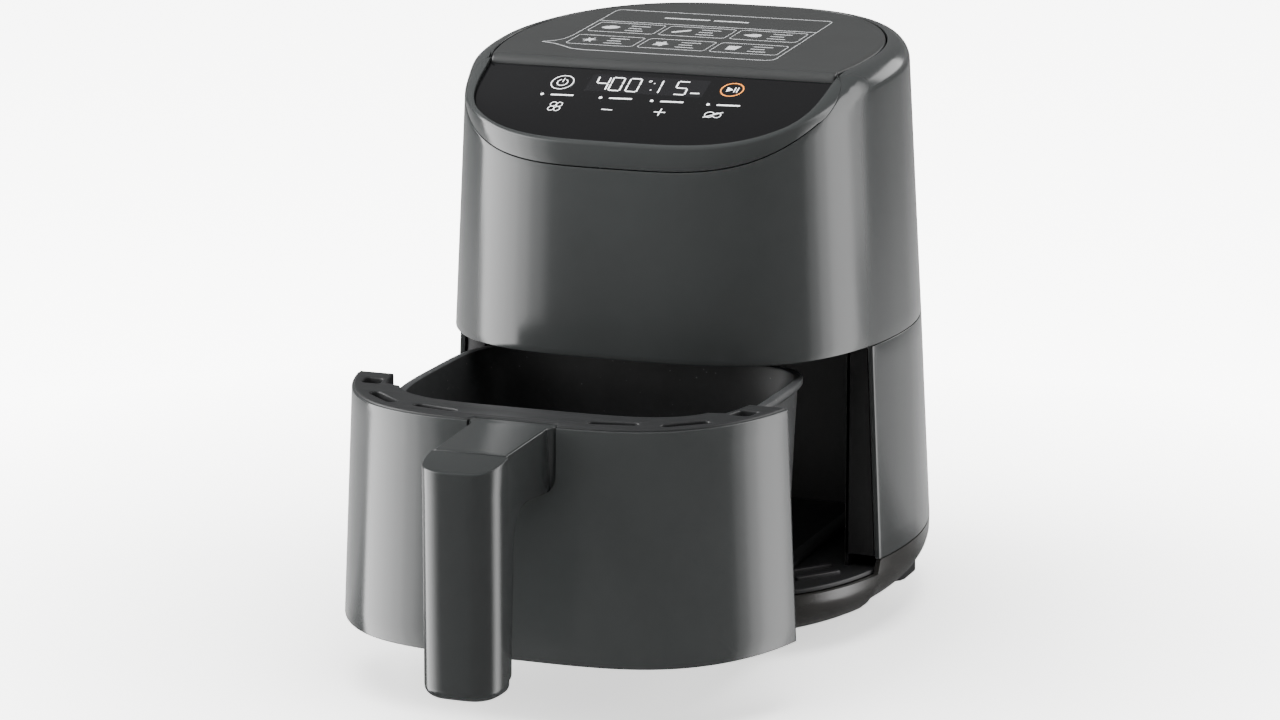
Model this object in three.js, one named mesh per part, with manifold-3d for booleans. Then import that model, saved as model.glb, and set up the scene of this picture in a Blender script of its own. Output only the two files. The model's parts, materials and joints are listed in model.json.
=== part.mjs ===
// Compact drawer air fryer, shown with its drawer pulled partly out.
// Millimetres, +Z up, front towards -Y. The origin is on the table, under the middle of the
// whole object. Plan outlines are superellipses with one half for the front and one for the rear.
import * as THREE from 'three';
import { mergeVertices } from 'three/addons/utils/BufferGeometryUtils.js';
import Module from 'manifold-3d';

const wasm = await Module();
wasm.setup();

// ---- driving dimensions -------------------------------------------------------------------
const GAP = 0.35; // clearance between touching pieces
const SEGMENTS = 48; // points round each plan outline
const REFERENCE_HEIGHT = 127.5; // height where the body outline below is measured
const BODY = { half: 100, front: 104.2, rear: 104.4, frontPowers: [3.6, 2.1], rearPowers: [2.9, 1.8] };
const TAPER = { half: 0.046, front: 0.025, rear: 0.105 }; // growth per mm going down
const WALL = 2.6; // moulded housing wall
const BASE_BOTTOM = 7;
const BASE_TOP = 34.5;
const BASE_LIP = 28; // height of the base under the drawer front
const HOUSING_BOTTOM = 129.8;
const CREASE = { y: -44, z: 247.8 }; // front edge of the top cover, above the control panel
const PANEL_DROP = 3.8; // from the cover down to the panel at the crease
const RIM_RISE = 1.5; // of the housing's rim above the panel
const TOP_SLOPE = 0.0625;
const PANEL_SLOPE = 0.4;
const COLLAR_SEAM = { y: -102, z: 211.4, slope: 0.58 };
const CUT_Y = -40; // front edge of the side shells and rear edge of the drawer front
const DRAWER_OPEN = 111; // how far the drawer stands out
const DRAWER_BOTTOM = 28.8;
const DRAWER_TOP = 127.8;
const BASKET = { half: 78.5, front: 80.5, rear: 57, frontPowers: [4.5, 3.4], rearPowers: [5.5, 4.5] };
const BASKET_BOTTOM = 33.4;
const BASKET_TOP = 122;
const PLATE_HEIGHT = 52; // underside of the crisper plate
const GRIP = { half: 16.6, seam: -147.6, front: -166, bottom: 27.5 };
const FAN_AXIS_Y = -10;
const CHAMBER_RADIUS = 71;
const GLAND = { z: 52, hole: 4.2 };

// ---- colours ------------------------------------------------------------------------------
const finish = (color, roughness, metalness = 0) =>
  new THREE.MeshStandardMaterial({ color, roughness, metalness });
const charcoal = finish(0x3a3d3e, 0.32);
const coverGrey = finish(0x46484a, 0.5);
const matteBlack = finish(0x141414, 0.6);
const glossBlack = finish(0x050505, 0.08);
const warmGrey = finish(0x55544f, 0.5);
const nonstick = finish(0x2e2f30, 0.55, 0.3);
const rubber = finish(0x0c0c0c, 0.9);
const steel = finish(0xa8aaac, 0.35, 0.9);
const elementSteel = finish(0x4a4643, 0.5, 0.8);
const boardGreen = finish(0x1d4a33, 0.6);
const copper = finish(0x9c5a32, 0.4, 0.8);
const silicone = finish(0x2a2a2b, 0.8);

// ---- solids -------------------------------------------------------------------------------
function signedVolume(position, index) {
  const corner = [new THREE.Vector3(), new THREE.Vector3(), new THREE.Vector3()];
  let volume = 0;
  for (let i = 0; i < index.count; i += 3) {
    corner.forEach((point, k) => point.fromBufferAttribute(position, index.getX(i + k)));
    volume += corner[0].dot(corner[1].clone().cross(corner[2]));
  }
  return volume / 6;
}

// Turns a closed three.js geometry into a solid that can be joined and cut.
function solid(geometry) {
  const bare = geometry.clone();
  bare.deleteAttribute('normal');
  bare.deleteAttribute('uv');
  const merged = mergeVertices(bare, 1e-4);
  const triVerts = new Uint32Array(merged.index.array);
  if (signedVolume(merged.attributes.position, merged.index) < 0) triVerts.reverse();
  const vertProperties = new Float32Array(merged.attributes.position.array);
  return new wasm.Manifold(new wasm.Mesh({ numProp: 3, vertProperties, triVerts }));
}

function geometryOf(piece) {
  const mesh = piece.getMesh();
  const geometry = new THREE.BufferGeometry();
  geometry.setAttribute('position', new THREE.BufferAttribute(new Float32Array(mesh.vertProperties), 3));
  geometry.setIndex(new THREE.BufferAttribute(new Uint32Array(mesh.triVerts), 1));
  return geometry;
}

function join(first, ...others) {
  return others.reduce((whole, piece) => whole.add(piece), first);
}

function cut(first, ...others) {
  return others.reduce((whole, piece) => whole.subtract(piece), first);
}

// Box from its lowest and highest corners.
function box(x0, x1, y0, y1, z0, z1) {
  const geometry = new THREE.BoxGeometry(x1 - x0, y1 - y0, z1 - z0);
  geometry.translate((x0 + x1) / 2, (y0 + y1) / 2, (z0 + z1) / 2);
  return solid(geometry);
}

// Upright cylinder.
function post(radius, x, y, z0, z1, sides = 20) {
  const geometry = new THREE.CylinderGeometry(radius, radius, z1 - z0, sides);
  geometry.rotateX(Math.PI / 2);
  geometry.translate(x, y, (z0 + z1) / 2);
  return solid(geometry);
}

function lathe(profile, sides = 48) {
  const points = profile.map(([radius, height]) => new THREE.Vector2(radius, height));
  const geometry = new THREE.LatheGeometry(points, sides);
  geometry.rotateX(Math.PI / 2);
  return geometry;
}

function prism(outline, z0, z1) {
  const shape = new THREE.Shape(outline.map(([x, y]) => new THREE.Vector2(x, y)));
  const geometry = new THREE.ExtrudeGeometry(shape, { depth: z1 - z0, bevelEnabled: false });
  geometry.translate(0, 0, z0);
  return solid(geometry);
}

// Side profile of [y, z] points, extruded along X between -half and half.
function sideProfile(shape, half) {
  const geometry = new THREE.ExtrudeGeometry(shape, {
    depth: 2 * half, bevelEnabled: false, curveSegments: 6,
  });
  // Shape x becomes Y, shape y becomes Z, and the depth becomes X.
  geometry.applyMatrix4(new THREE.Matrix4().makeBasis(
    new THREE.Vector3(0, 1, 0), new THREE.Vector3(0, 0, 1), new THREE.Vector3(1, 0, 0),
  ));
  geometry.translate(-half, 0, 0);
  return solid(geometry);
}

function polygonProfile(points, half) {
  return sideProfile(new THREE.Shape(points.map(([y, z]) => new THREE.Vector2(y, z))), half);
}

// Skins a stack of rings with equal point counts and closes both ends with a fan.
function loft(rings) {
  const count = rings[0].length;
  const positions = [];
  const index = [];
  rings.forEach((ring) => ring.forEach((point) => positions.push(point.x, point.y, point.z)));
  for (let r = 0; r + 1 < rings.length; r += 1) {
    for (let i = 0; i < count; i += 1) {
      const a = r * count + i;
      const b = r * count + ((i + 1) % count);
      index.push(a, b, b + count, a, b + count, a + count);
    }
  }
  [rings[0], rings.at(-1)].forEach((ring, end) => {
    const centre = ring.reduce((sum, point) => sum.add(point), new THREE.Vector3()).divideScalar(count);
    const apex = positions.length / 3;
    const start = end === 0 ? 0 : (rings.length - 1) * count;
    positions.push(centre.x, centre.y, centre.z);
    for (let i = 0; i < count; i += 1) {
      const a = start + i;
      const b = start + ((i + 1) % count);
      index.push(...(end === 0 ? [apex, b, a] : [apex, a, b]));
    }
  });
  const geometry = new THREE.BufferGeometry();
  geometry.setAttribute('position', new THREE.Float32BufferAttribute(positions, 3));
  geometry.setIndex(index);
  return solid(geometry);
}

// ---- outlines -----------------------------------------------------------------------------
// Point of an outline in the direction of an angle, pulled in by an inset.
function ovalPoint(angle, outline, inset = 0) {
  const across = Math.cos(angle);
  const along = Math.sin(angle);
  const half = outline.half - inset;
  const depth = (along < 0 ? outline.front : outline.rear) - inset;
  const [p, q] = along < 0 ? outline.frontPowers : outline.rearPowers;
  let low = 0;
  let high = half + depth;
  for (let i = 0; i < 40; i += 1) {
    const middle = (low + high) / 2;
    const outside = (Math.abs(middle * across) / half) ** p + (Math.abs(middle * along) / depth) ** q > 1;
    if (outside) high = middle;
    else low = middle;
  }
  return [high * across, high * along];
}

const angles = Array.from({ length: SEGMENTS }, (_, i) => (2 * Math.PI * i) / SEGMENTS);

function bodyOutlineAt(z) {
  const drop = REFERENCE_HEIGHT - z;
  return {
    ...BODY,
    half: BODY.half + TAPER.half * drop,
    front: BODY.front + TAPER.front * drop,
    rear: BODY.rear + TAPER.rear * drop,
  };
}

function ovalRing(outline, z, inset = 0) {
  return angles.map((angle) => new THREE.Vector3(...ovalPoint(angle, outline, inset), z));
}

const bodyRing = (z, inset = 0) => ovalRing(bodyOutlineAt(z), z, inset);

const coverHeight = (y) => CREASE.z + TOP_SLOPE * (y - CREASE.y);
const panelHeight = (y) => CREASE.z - PANEL_DROP + PANEL_SLOPE * (y - CREASE.y);
const topHeight = (y) => Math.min(coverHeight(y), panelHeight(y) + RIM_RISE);

// The shoulder is tight round the control panel and wide round the top cover.
function shoulderRadius(y) {
  const t = THREE.MathUtils.smoothstep(y, -88, -46);
  return THREE.MathUtils.lerp(3, 10, t);
}

// Rings of the upper housing: straight walls, then a rounded shoulder up to the top opening.
function housingLoft(inset, bottom) {
  const rings = [bodyRing(bottom, inset)];
  for (const turn of [0, 0.25, 0.5, 0.75, 1]) {
    const phi = (turn * Math.PI) / 2;
    rings.push(angles.map((angle) => {
      const edgeY = ovalPoint(angle, bodyOutlineAt(CREASE.z))[1];
      const outline = bodyOutlineAt(topHeight(edgeY));
      const radius = Math.max(shoulderRadius(edgeY) - inset, 0.6);
      const [x, y] = ovalPoint(angle, outline, inset + radius * (1 - Math.cos(phi)));
      return new THREE.Vector3(x, y, topHeight(y) - inset - radius * (1 - Math.sin(phi)));
    }));
  }
  return loft(rings);
}

// Outline just inside the shoulder, as a ring at heights given by a function of y.
function openingRing(extra, height) {
  return angles.map((angle) => {
    const edgeY = ovalPoint(angle, bodyOutlineAt(CREASE.z))[1];
    const outline = bodyOutlineAt(topHeight(edgeY));
    const [x, y] = ovalPoint(angle, outline, shoulderRadius(edgeY) + extra);
    return new THREE.Vector3(x, y, height(y));
  });
}

// ---- scene graph --------------------------------------------------------------------------
const airFryer = new THREE.Group();
const housing = new THREE.Group();
const drawer = new THREE.Group();
drawer.position.y = -DRAWER_OPEN;
housing.add(drawer);
airFryer.add(housing);

function addMesh(name, piece, material, parent = housing) {
  const mesh = new THREE.Mesh(geometryOf(piece), material);
  mesh.name = name;
  parent.add(mesh);
  return mesh;
}

// ---- outer housing ------------------------------------------------------------------------
const FAR = 150; // past every outline
const VENT = { half: 27, low: 141, high: 169 };
const collarLine = (y) => COLLAR_SEAM.z + COLLAR_SEAM.slope * (y - COLLAR_SEAM.y);
const COLLAR_END = CREASE.y - 2;

function aboveCollarSeam(lift, endY) {
  return polygonProfile([
    [-FAR, collarLine(-FAR) + lift], [endY, collarLine(endY) + lift], [endY, 290], [-FAR, 290],
  ], FAR);
}

function buildUpperHousing() {
  const opening = loft([openingRing(0, () => 190), openingRing(0, () => 290)]);
  const shell = cut(housingLoft(0, HOUSING_BOTTOM), housingLoft(WALL, HOUSING_BOTTOM - 5), opening);
  const ventWindow = box(-VENT.half, VENT.half, 60, FAR, VENT.low, VENT.high);
  addMesh('upper_housing', cut(shell, aboveCollarSeam(0, COLLAR_END), ventWindow), charcoal);
  addMesh('collar_trim', shell.intersect(aboveCollarSeam(GAP, COLLAR_END - GAP)), charcoal);
  const grille = shell.intersect(box(
    -VENT.half + GAP, VENT.half - GAP, 60, FAR, VENT.low + GAP, VENT.high - GAP,
  ));
  const slots = [];
  for (let x = -21; x <= 21; x += 7) slots.push(box(x - 1.6, x + 1.6, 60, FAR, VENT.low + 4, VENT.high - 4));
  addMesh('rear_vent_grille', cut(grille, ...slots), matteBlack);
}

function buildLowerShell() {
  const top = HOUSING_BOTTOM - GAP;
  const bottom = BASE_TOP + GAP;
  const shell = cut(
    loft([bodyRing(bottom), bodyRing(top)]),
    loft([bodyRing(bottom - 5, WALL), bodyRing(top + 5, WALL)]),
    box(-FAR, FAR, -FAR, CUT_Y + GAP, 0, 200),
    glandHole(7.2),
  );
  addMesh('lower_shell', shell, charcoal);
}

// Round hole through the rear wall for the mains cord's gland.
function glandHole(radius) {
  const geometry = new THREE.CylinderGeometry(radius, radius, 60, 20);
  geometry.translate(0, FAR - 50, GLAND.z);
  return solid(geometry);
}

// Outside of the base, curving in to a flat underside; grow adds clearance for what touches it.
function baseOutside(grow) {
  return loft([
    bodyRing(BASE_BOTTOM - grow, 22), bodyRing(9.5 - grow, 13), bodyRing(14, 6.5 - grow),
    bodyRing(20, 2.6 - grow), bodyRing(27, 0.6 - grow), bodyRing(BASE_TOP, -grow),
  ]);
}

function buildBase() {
  const outer = baseOutside(0);
  const hollow = loft([
    bodyRing(BASE_BOTTOM + 3, 24), bodyRing(12.5, 15.5), bodyRing(17, 9), bodyRing(23, 5.5),
    bodyRing(BASE_TOP + 5, 3.2),
  ]);
  const frontCut = box(-FAR, FAR, -FAR, CUT_Y, BASE_LIP, 60);
  const screwHoles = SCREW_PLACES.map(([x, y]) => post(3.4, x, y, 0, 20, 12));
  addMesh('base_pan', cut(outer, hollow, frontCut, ...screwHoles), warmGrey);
}

const SCREW_PLACES = [[-52, -42], [52, -42], [-52, 66], [52, 66]];
const FOOT_PLACES = [[-53, -62], [53, -62], [-77, 60], [77, 60]];

function buildFeetAndScrews() {
  const base = baseOutside(GAP);
  FOOT_PLACES.forEach(([x, y], i) => {
    const pad = new THREE.Shape();
    pad.absarc(x, y + 8, 6.5, 0, Math.PI);
    pad.absarc(x, y - 8, 6.5, Math.PI, 2 * Math.PI);
    const geometry = new THREE.ExtrudeGeometry(pad, { depth: 14, bevelEnabled: false, curveSegments: 6 });
    addMesh(`foot_${i}`, cut(solid(geometry), base), rubber);
  });
  SCREW_PLACES.forEach(([x, y], i) => {
    const head = post(3, x, y, BASE_BOTTOM + 0.5, BASE_BOTTOM + 2.6, 12);
    addMesh(`base_screw_${i}`, join(head, post(1.6, x, y, BASE_BOTTOM + 2, BASE_BOTTOM + 14, 8)), steel);
  });
}

// ---- top cover and control panel -------------------------------------------------------------
const COVER_THICKNESS = 4.2;
const COVER_ROLL = 3.6; // radius of the cover's rolled front edge
const GLASS_THICKNESS = 3;
const PANEL_TILT = Math.atan(PANEL_SLOPE);

function buildTopCover() {
  const cover = loft([
    openingRing(0.8, (y) => coverHeight(y) - COVER_THICKNESS),
    openingRing(0.8, (y) => coverHeight(y) - 0.8),
    openingRing(1.6, coverHeight),
  ]);
  const roll = [0, 0.25, 0.5, 0.75, 1].map((turn) => {
    const phi = (turn * Math.PI) / 2;
    return [CREASE.y + COVER_ROLL * (1 - Math.cos(phi)), CREASE.z + 0.2 - COVER_ROLL * (1 - Math.sin(phi))];
  });
  const behind = [[CREASE.y, 100], ...roll, [CREASE.y + COVER_ROLL, 300], [FAR, 300], [FAR, 100]];
  addMesh('top_cover', cover.intersect(polygonProfile(behind, FAR)), coverGrey);
}

function buildControlPanel() {
  const frontSide = (gap) => box(-FAR, FAR, -FAR, CREASE.y - gap, 100, 300);
  const glass = loft([
    openingRing(0.5, (y) => panelHeight(y) - GLASS_THICKNESS), openingRing(0.5, panelHeight),
  ]);
  addMesh('control_glass', glass.intersect(frontSide(GAP)), glossBlack);

  const frameTop = GLASS_THICKNESS + GAP;
  const frame = loft([
    openingRing(2.5, (y) => panelHeight(y) - frameTop - 2),
    openingRing(2.5, (y) => panelHeight(y) - frameTop),
  ]);
  const window = box(-34, 30, -66, -50, 100, 300);
  addMesh('panel_frame', cut(frame.intersect(frontSide(3)), window), matteBlack);

  // The board and the display lie parallel to the glass, in a group tilted with it.
  const tilted = new THREE.Group();
  tilted.position.set(0, -70, panelHeight(-70));
  tilted.rotation.x = PANEL_TILT;
  housing.add(tilted);
  addMesh('panel_board', box(-50, 50, -20, 22, -11.6, -10), boardGreen, tilted);
  addMesh('display_module', box(-32, 28, 6, 18, -9.7, -3.5), matteBlack, tilted);
}

// ---- drawer cavity -----------------------------------------------------------------------------
const CAVITY = { half: 84, rear: 64, floor: 28.4, top: HOUSING_BOTTOM - 0.8, wall: 1.8 };
const RUNNER = { x: 62, width: 7, top: BASKET_BOTTOM - 0.5 };
const PLUNGER = { x: 30, z: 118 };

function buildCavity() {
  const { half, rear, floor, top, wall } = CAVITY;
  const cornered = (grow) => [
    [-half - grow, -FAR], [half + grow, -FAR], [half + grow, rear - 22], [half + grow - 7, rear - 7 + grow],
    [half - 22, rear + grow], [-half + 22, rear + grow], [-half - grow + 7, rear - 7 + grow],
    [-half - grow, rear - 22],
  ];
  const insideShell = (z0, z1, inset) => loft([bodyRing(z0, inset), bodyRing(z1, inset)]);
  const room = prism(cornered(0), floor + wall, top + 20);
  const walls = cut(prism(cornered(wall), floor, top), room, box(-FAR, FAR, -FAR, CUT_Y + 2, 0, 200));
  const flange = cut(
    insideShell(BASE_TOP + 1, top, WALL + GAP + 0.6),
    room,
    box(-FAR, FAR, -FAR, CUT_Y + 2, 0, 200),
    box(-FAR, FAR, CUT_Y + 4, FAR, 0, 200),
  );
  const floorPlate = cut(
    insideShell(floor, floor + wall, 5.4),
    box(-FAR, FAR, CUT_Y + 10, FAR, 0, 200),
  );
  const liner = cut(
    join(walls, flange, floorPlate),
    box(PLUNGER.x - 4, PLUNGER.x + 4, rear - 2, rear + 4, PLUNGER.z - 4, PLUNGER.z + 4),
  );
  addMesh('cavity_liner', liner, matteBlack);
  for (const side of [-1, 1]) {
    const ramp = new THREE.Shape([
      new THREE.Vector2(-88, floor + wall + GAP), new THREE.Vector2(rear - 6, floor + wall + GAP),
      new THREE.Vector2(rear - 6, RUNNER.top), new THREE.Vector2(-78, RUNNER.top),
    ]);
    const runner = addMesh(
      `runner_${side < 0 ? 'left' : 'right'}`, sideProfile(ramp, RUNNER.width / 2), matteBlack,
    );
    runner.position.x = side * RUNNER.x;
  }
}

// ---- heater, fan and motor ---------------------------------------------------------------------
const CHAMBER = { floor: HOUSING_BOTTOM + 1.2, top: 172, sheet: 1.2 };
const RISER_ANGLE = THREE.MathUtils.degToRad(80);
const COIL = { outer: 60, inner: 45, height: 146, wire: 3 };
const onAxis = (geometry) => geometry.translate(0, FAN_AXIS_Y, 0);
const polar = (radius, angle, z) =>
  new THREE.Vector3(radius * Math.cos(angle), radius * Math.sin(angle), z);

function riserHoles(z0, z1) {
  return [COIL.outer, COIL.inner].map((radius) => {
    const { x, y } = polar(radius, RISER_ANGLE, 0);
    return post(COIL.wire + 1.2, x, y + FAN_AXIS_Y, z0, z1, 10);
  });
}

function buildChamber() {
  const { floor, top, sheet } = CHAMBER;
  const plate = cut(
    loft([bodyRing(floor, WALL + 0.5), bodyRing(floor + 1.6, WALL + 0.5)]),
    post(CHAMBER_RADIUS - 1, 0, FAN_AXIS_Y, 100, 200, 48),
  );
  addMesh('chamber_plate', plate, matteBlack);

  const seat = floor + 1.6 + GAP;
  const r = CHAMBER_RADIUS;
  const dome = solid(onAxis(lathe([
    [r - sheet, seat], [r + 6, seat], [r + 6, seat + sheet], [r, seat + sheet], [r, top - 5],
    [r - 5, top], [6, top], [6, top - sheet], [r - 5.5, top - sheet], [r - sheet, top - 5.5],
    [r - sheet, seat],
  ])));
  const sensorHole = sensorRod(2.2, 40);
  const outlet = box(-24, 24, 30, 80, 144, 166);
  addMesh('air_chamber', cut(dome, sensorHole, outlet, ...riserHoles(160, 180)), steel);

  const shield = cut(
    post(78, 0, FAN_AXIS_Y, 176, 177.2, 40), post(6, 0, FAN_AXIS_Y, 170, 180, 16), ...riserHoles(170, 180),
  );
  addMesh('heat_shield', shield, steel);
}

// Horizontal rod pointing at the axis through the chamber's left wall.
function sensorRod(radius, length) {
  const geometry = new THREE.CylinderGeometry(radius, radius, length, 10);
  geometry.rotateZ(Math.PI / 2);
  geometry.translate(-CHAMBER_RADIUS, FAN_AXIS_Y + 8, 160);
  return solid(geometry);
}

// One hairpin: round the outside, a U-turn, back round the inside, with both ends turned up.
function buildHeatingElement() {
  const { outer, inner, height, wire } = COIL;
  const points = [polar(outer, RISER_ANGLE, 180), polar(outer, RISER_ANGLE, 165)];
  const turns = 12;
  const sweep = THREE.MathUtils.degToRad(305);
  const lead = THREE.MathUtils.degToRad(12);
  for (let i = 0; i <= turns; i += 1) {
    points.push(polar(outer, RISER_ANGLE - lead - (sweep * i) / turns, height));
  }
  points.push(polar((outer + inner) / 2, RISER_ANGLE - lead - sweep - 0.13, height));
  for (let i = turns; i >= 0; i -= 1) {
    points.push(polar(inner, RISER_ANGLE - lead - (sweep * i) / turns, height));
  }
  points.push(polar(inner, RISER_ANGLE, 165), polar(inner, RISER_ANGLE, 180));
  const section = new THREE.Shape();
  section.absarc(0, 0, wire, 0, 2 * Math.PI);
  const tube = new THREE.ExtrudeGeometry(section, {
    extrudePath: new THREE.CatmullRomCurve3(points), steps: 66, curveSegments: 4, bevelEnabled: false,
  });
  addMesh('heating_element', solid(onAxis(tube)), elementSteel);
}

function flatRing(radius, width, z0, z1) {
  return solid(onAxis(lathe([
    [radius - width, z0], [radius, z0], [radius, z1], [radius - width, z1], [radius - width, z0],
  ], 32)));
}

function spoke(angle, from, to, width, z0, z1) {
  const geometry = new THREE.BoxGeometry(to - from, width, z1 - z0);
  geometry.translate((from + to) / 2, 0, (z0 + z1) / 2);
  geometry.rotateZ(angle);
  return solid(onAxis(geometry));
}

function buildGuard() {
  const low = 136;
  const high = 137.4;
  const rings = [68, 40].map((radius) => flatRing(radius, 2, low, high));
  const bars = [0, 1, 2, 3].map((i) => spoke((i * Math.PI) / 4, -67.5, 67.5, 2, low, high));
  addMesh('element_guard', join(...rings, ...bars), steel);
}

const SHAFT_RADIUS = 2.5;

function hubWithBlades(radius, hub, z0, z1, count, pitch) {
  const blades = Array.from({ length: count }, (_, i) => {
    const geometry = new THREE.BoxGeometry(radius - hub + 1, 1.4, z1 - z0 - 2);
    geometry.rotateX(pitch);
    geometry.translate((radius + hub - 1) / 2, 0, (z0 + z1) / 2);
    geometry.rotateZ((2 * Math.PI * i) / count);
    return solid(onAxis(geometry));
  });
  return cut(
    join(post(hub, 0, FAN_AXIS_Y, z0, z1, 20), ...blades),
    post(SHAFT_RADIUS + GAP, 0, FAN_AXIS_Y, z0 - 5, z1 + 5, 16),
  );
}

function buildFanAndMotor() {
  const disc = cut(
    post(36, 0, FAN_AXIS_Y, 165.6, 166.8, 32), post(SHAFT_RADIUS + GAP, 0, FAN_AXIS_Y, 100, 200, 16),
  );
  addMesh('hot_fan', join(hubWithBlades(36, 7, 155, 167.5, 8, 0), disc), steel);
  addMesh('fan_shaft', post(SHAFT_RADIUS, 0, FAN_AXIS_Y, 155, 224, 16), steel);
  addMesh('motor_rotor', cut(
    post(12.5, 0, FAN_AXIS_Y, 184, 201, 24), post(SHAFT_RADIUS + GAP, 0, FAN_AXIS_Y, 180, 210, 16),
  ), steel);
  addMesh('cooling_fan', hubWithBlades(31, 6, 209, 221, 6, 0.5), matteBlack);

  const core = prism(
    [[-29, -20], [-20, -24], [20, -24], [29, -20], [29, 16], [20, 22], [-20, 22], [-29, 16]], 185, 200,
  );
  addMesh('motor_stator', cut(core, post(13.2, 0, 0, 180, 210, 24)), steel).position.y = FAN_AXIS_Y;
  const coil = cut(box(-15, 15, 22.5, 36, 183, 202), box(-9, 9, 26, 32, 180, 206));
  addMesh('motor_coil', coil, copper).position.y = FAN_AXIS_Y;

  const strap = join(
    box(-38, 38, -9, 9, 202.6, 204.2), box(-38, -36.4, -9, 9, 177.6, 204.2),
    box(36.4, 38, -9, 9, 177.6, 204.2),
    box(-46, -36.4, -9, 9, 177.6, 179.2), box(36.4, 46, -9, 9, 177.6, 179.2),
  );
  addMesh('motor_bracket', cut(strap, post(5, 0, 0, 190, 210, 16)), steel).position.y = FAN_AXIS_Y;
}

function buildExhaust() {
  const duct = cut(box(-26, 26, 63, 94, 142, 168), box(-24.4, 24.4, 55, 100, 143.6, 166.4));
  addMesh('exhaust_duct', duct, matteBlack);
}

function buildSensors() {
  addMesh('thermal_cutout', box(CHAMBER_RADIUS + 0.6, CHAMBER_RADIUS + 8, -17, -3, 148, 162), matteBlack);
  const rod = sensorRod(1.4, 24);
  const collar = box(-CHAMBER_RADIUS - 7, -CHAMBER_RADIUS - 0.8, FAN_AXIS_Y + 4, FAN_AXIS_Y + 12, 156, 164);
  addMesh('temperature_sensor', join(rod, collar), steel);
}

function buildPowerBoard() {
  const board = join(
    box(-36, 36, 72, 73.6, 184, 230),
    box(-30, -14, 60, 72.3, 190, 206), // relay
    box(-6, 12, 58, 72.3, 188, 204), // transformer
    box(18, 30, 63, 72.3, 190, 202), // film capacitor
    box(-28, 26, 66, 72.3, 212, 220), // terminal strip
  );
  addMesh('power_board', board, boardGreen);
}

function buildSwitch() {
  const { x, z } = PLUNGER;
  addMesh('microswitch', box(x - 10, x + 10, CAVITY.rear + 2.6, CAVITY.rear + 12, z - 5, z + 5), matteBlack);
  addMesh('switch_plunger', box(x - 3, x + 3, BASKET.rear + 0.4, CAVITY.rear - 0.4, z - 3, z + 3), silicone);
}

function buildGland() {
  const { hole } = GLAND;
  const body = lathe([[hole, -8], [6.4, -8], [6.4, 0.6], [9, 0.6], [9, 3.2], [hole, 3.2], [hole, -8]], 20);
  body.rotateX(-Math.PI / 2);
  const mesh = addMesh('cord_gland', solid(body), rubber);
  mesh.position.set(0, bodyOutlineAt(GLAND.z).rear, GLAND.z);
  mesh.rotation.x = Math.atan(TAPER.rear); // square to the sloping rear wall
}

// ---- drawer --------------------------------------------------------------------------------------
const ARM = { half: 18.9, bottom: 98.8, top: 127.4 };
const PANEL_WALL = 2.8;

function buildDrawerFront() {
  const notch = box(-ARM.half - 0.5, ARM.half + 0.5, -FAR, -80, ARM.bottom - 0.5, 200);
  const panel = cut(
    loft([bodyRing(DRAWER_BOTTOM), bodyRing(DRAWER_TOP)]),
    loft([bodyRing(DRAWER_BOTTOM - 5, PANEL_WALL), bodyRing(DRAWER_TOP + 5, PANEL_WALL)]),
    box(-FAR, FAR, CUT_Y - GAP, FAR, 0, 200),
    notch,
  );
  addMesh('drawer_front', panel, charcoal, drawer);
}

// Slots through the deck, as [x, y, length, angle] with the angle from the X axis.
const DECK_LIP_END = -58; // the deck covers the basket's rim in front of this line
const DECK_SLOTS = [[82, -56, 11, 1.35], [66, -80, 21, 0.72], [39, -88.5, 20, 0.22]];

function buildRimCap() {
  const low = DRAWER_TOP - 5;
  const high = DRAWER_TOP - 0.3;
  const deck = cut(
    loft([bodyRing(low, PANEL_WALL + GAP), bodyRing(high, PANEL_WALL + GAP)]),
    loft([ovalRing(BASKET, low - 5, 2), ovalRing(BASKET, high + 5, 2)]),
    loft([ovalRing(BASKET, low - 5, -2.5), ovalRing(BASKET, high + 5, -2.5)])
      .intersect(box(-FAR, FAR, DECK_LIP_END, FAR, 0, 200)),
    box(-FAR, FAR, CUT_Y - 1, FAR, 0, 200),
    box(-ARM.half - 0.5, ARM.half + 0.5, -FAR, -99, 0, 200),
  );
  const slots = DECK_SLOTS.flatMap(([x, y, length, angle]) => [-1, 1].map((side) => {
    const geometry = new THREE.BoxGeometry(length, 4.4, 20);
    geometry.rotateZ(side * angle);
    geometry.translate(side * x, y, high);
    return solid(geometry);
  }));
  addMesh('rim_cap', cut(deck, ...slots), matteBlack, drawer);
}

function buildBasket() {
  const top = BASKET_TOP;
  const outer = loft([
    ovalRing(BASKET, BASKET_BOTTOM, 14), ovalRing(BASKET, BASKET_BOTTOM + 2.5, 8.5),
    ovalRing(BASKET, BASKET_BOTTOM + 8, 5.4), ovalRing(BASKET, top - 3.5, 2),
    ovalRing(BASKET, top - 3.2, 0), ovalRing(BASKET, top, 0),
  ]);
  const hollow = loft([
    ovalRing(BASKET, BASKET_BOTTOM + 1.6, 15), ovalRing(BASKET, BASKET_BOTTOM + 4, 10.2),
    ovalRing(BASKET, BASKET_BOTTOM + 9, 7.2), ovalRing(BASKET, top + 5, 3.6),
  ]);
  addMesh('basket', cut(outer, hollow), nonstick, drawer);
}

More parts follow.
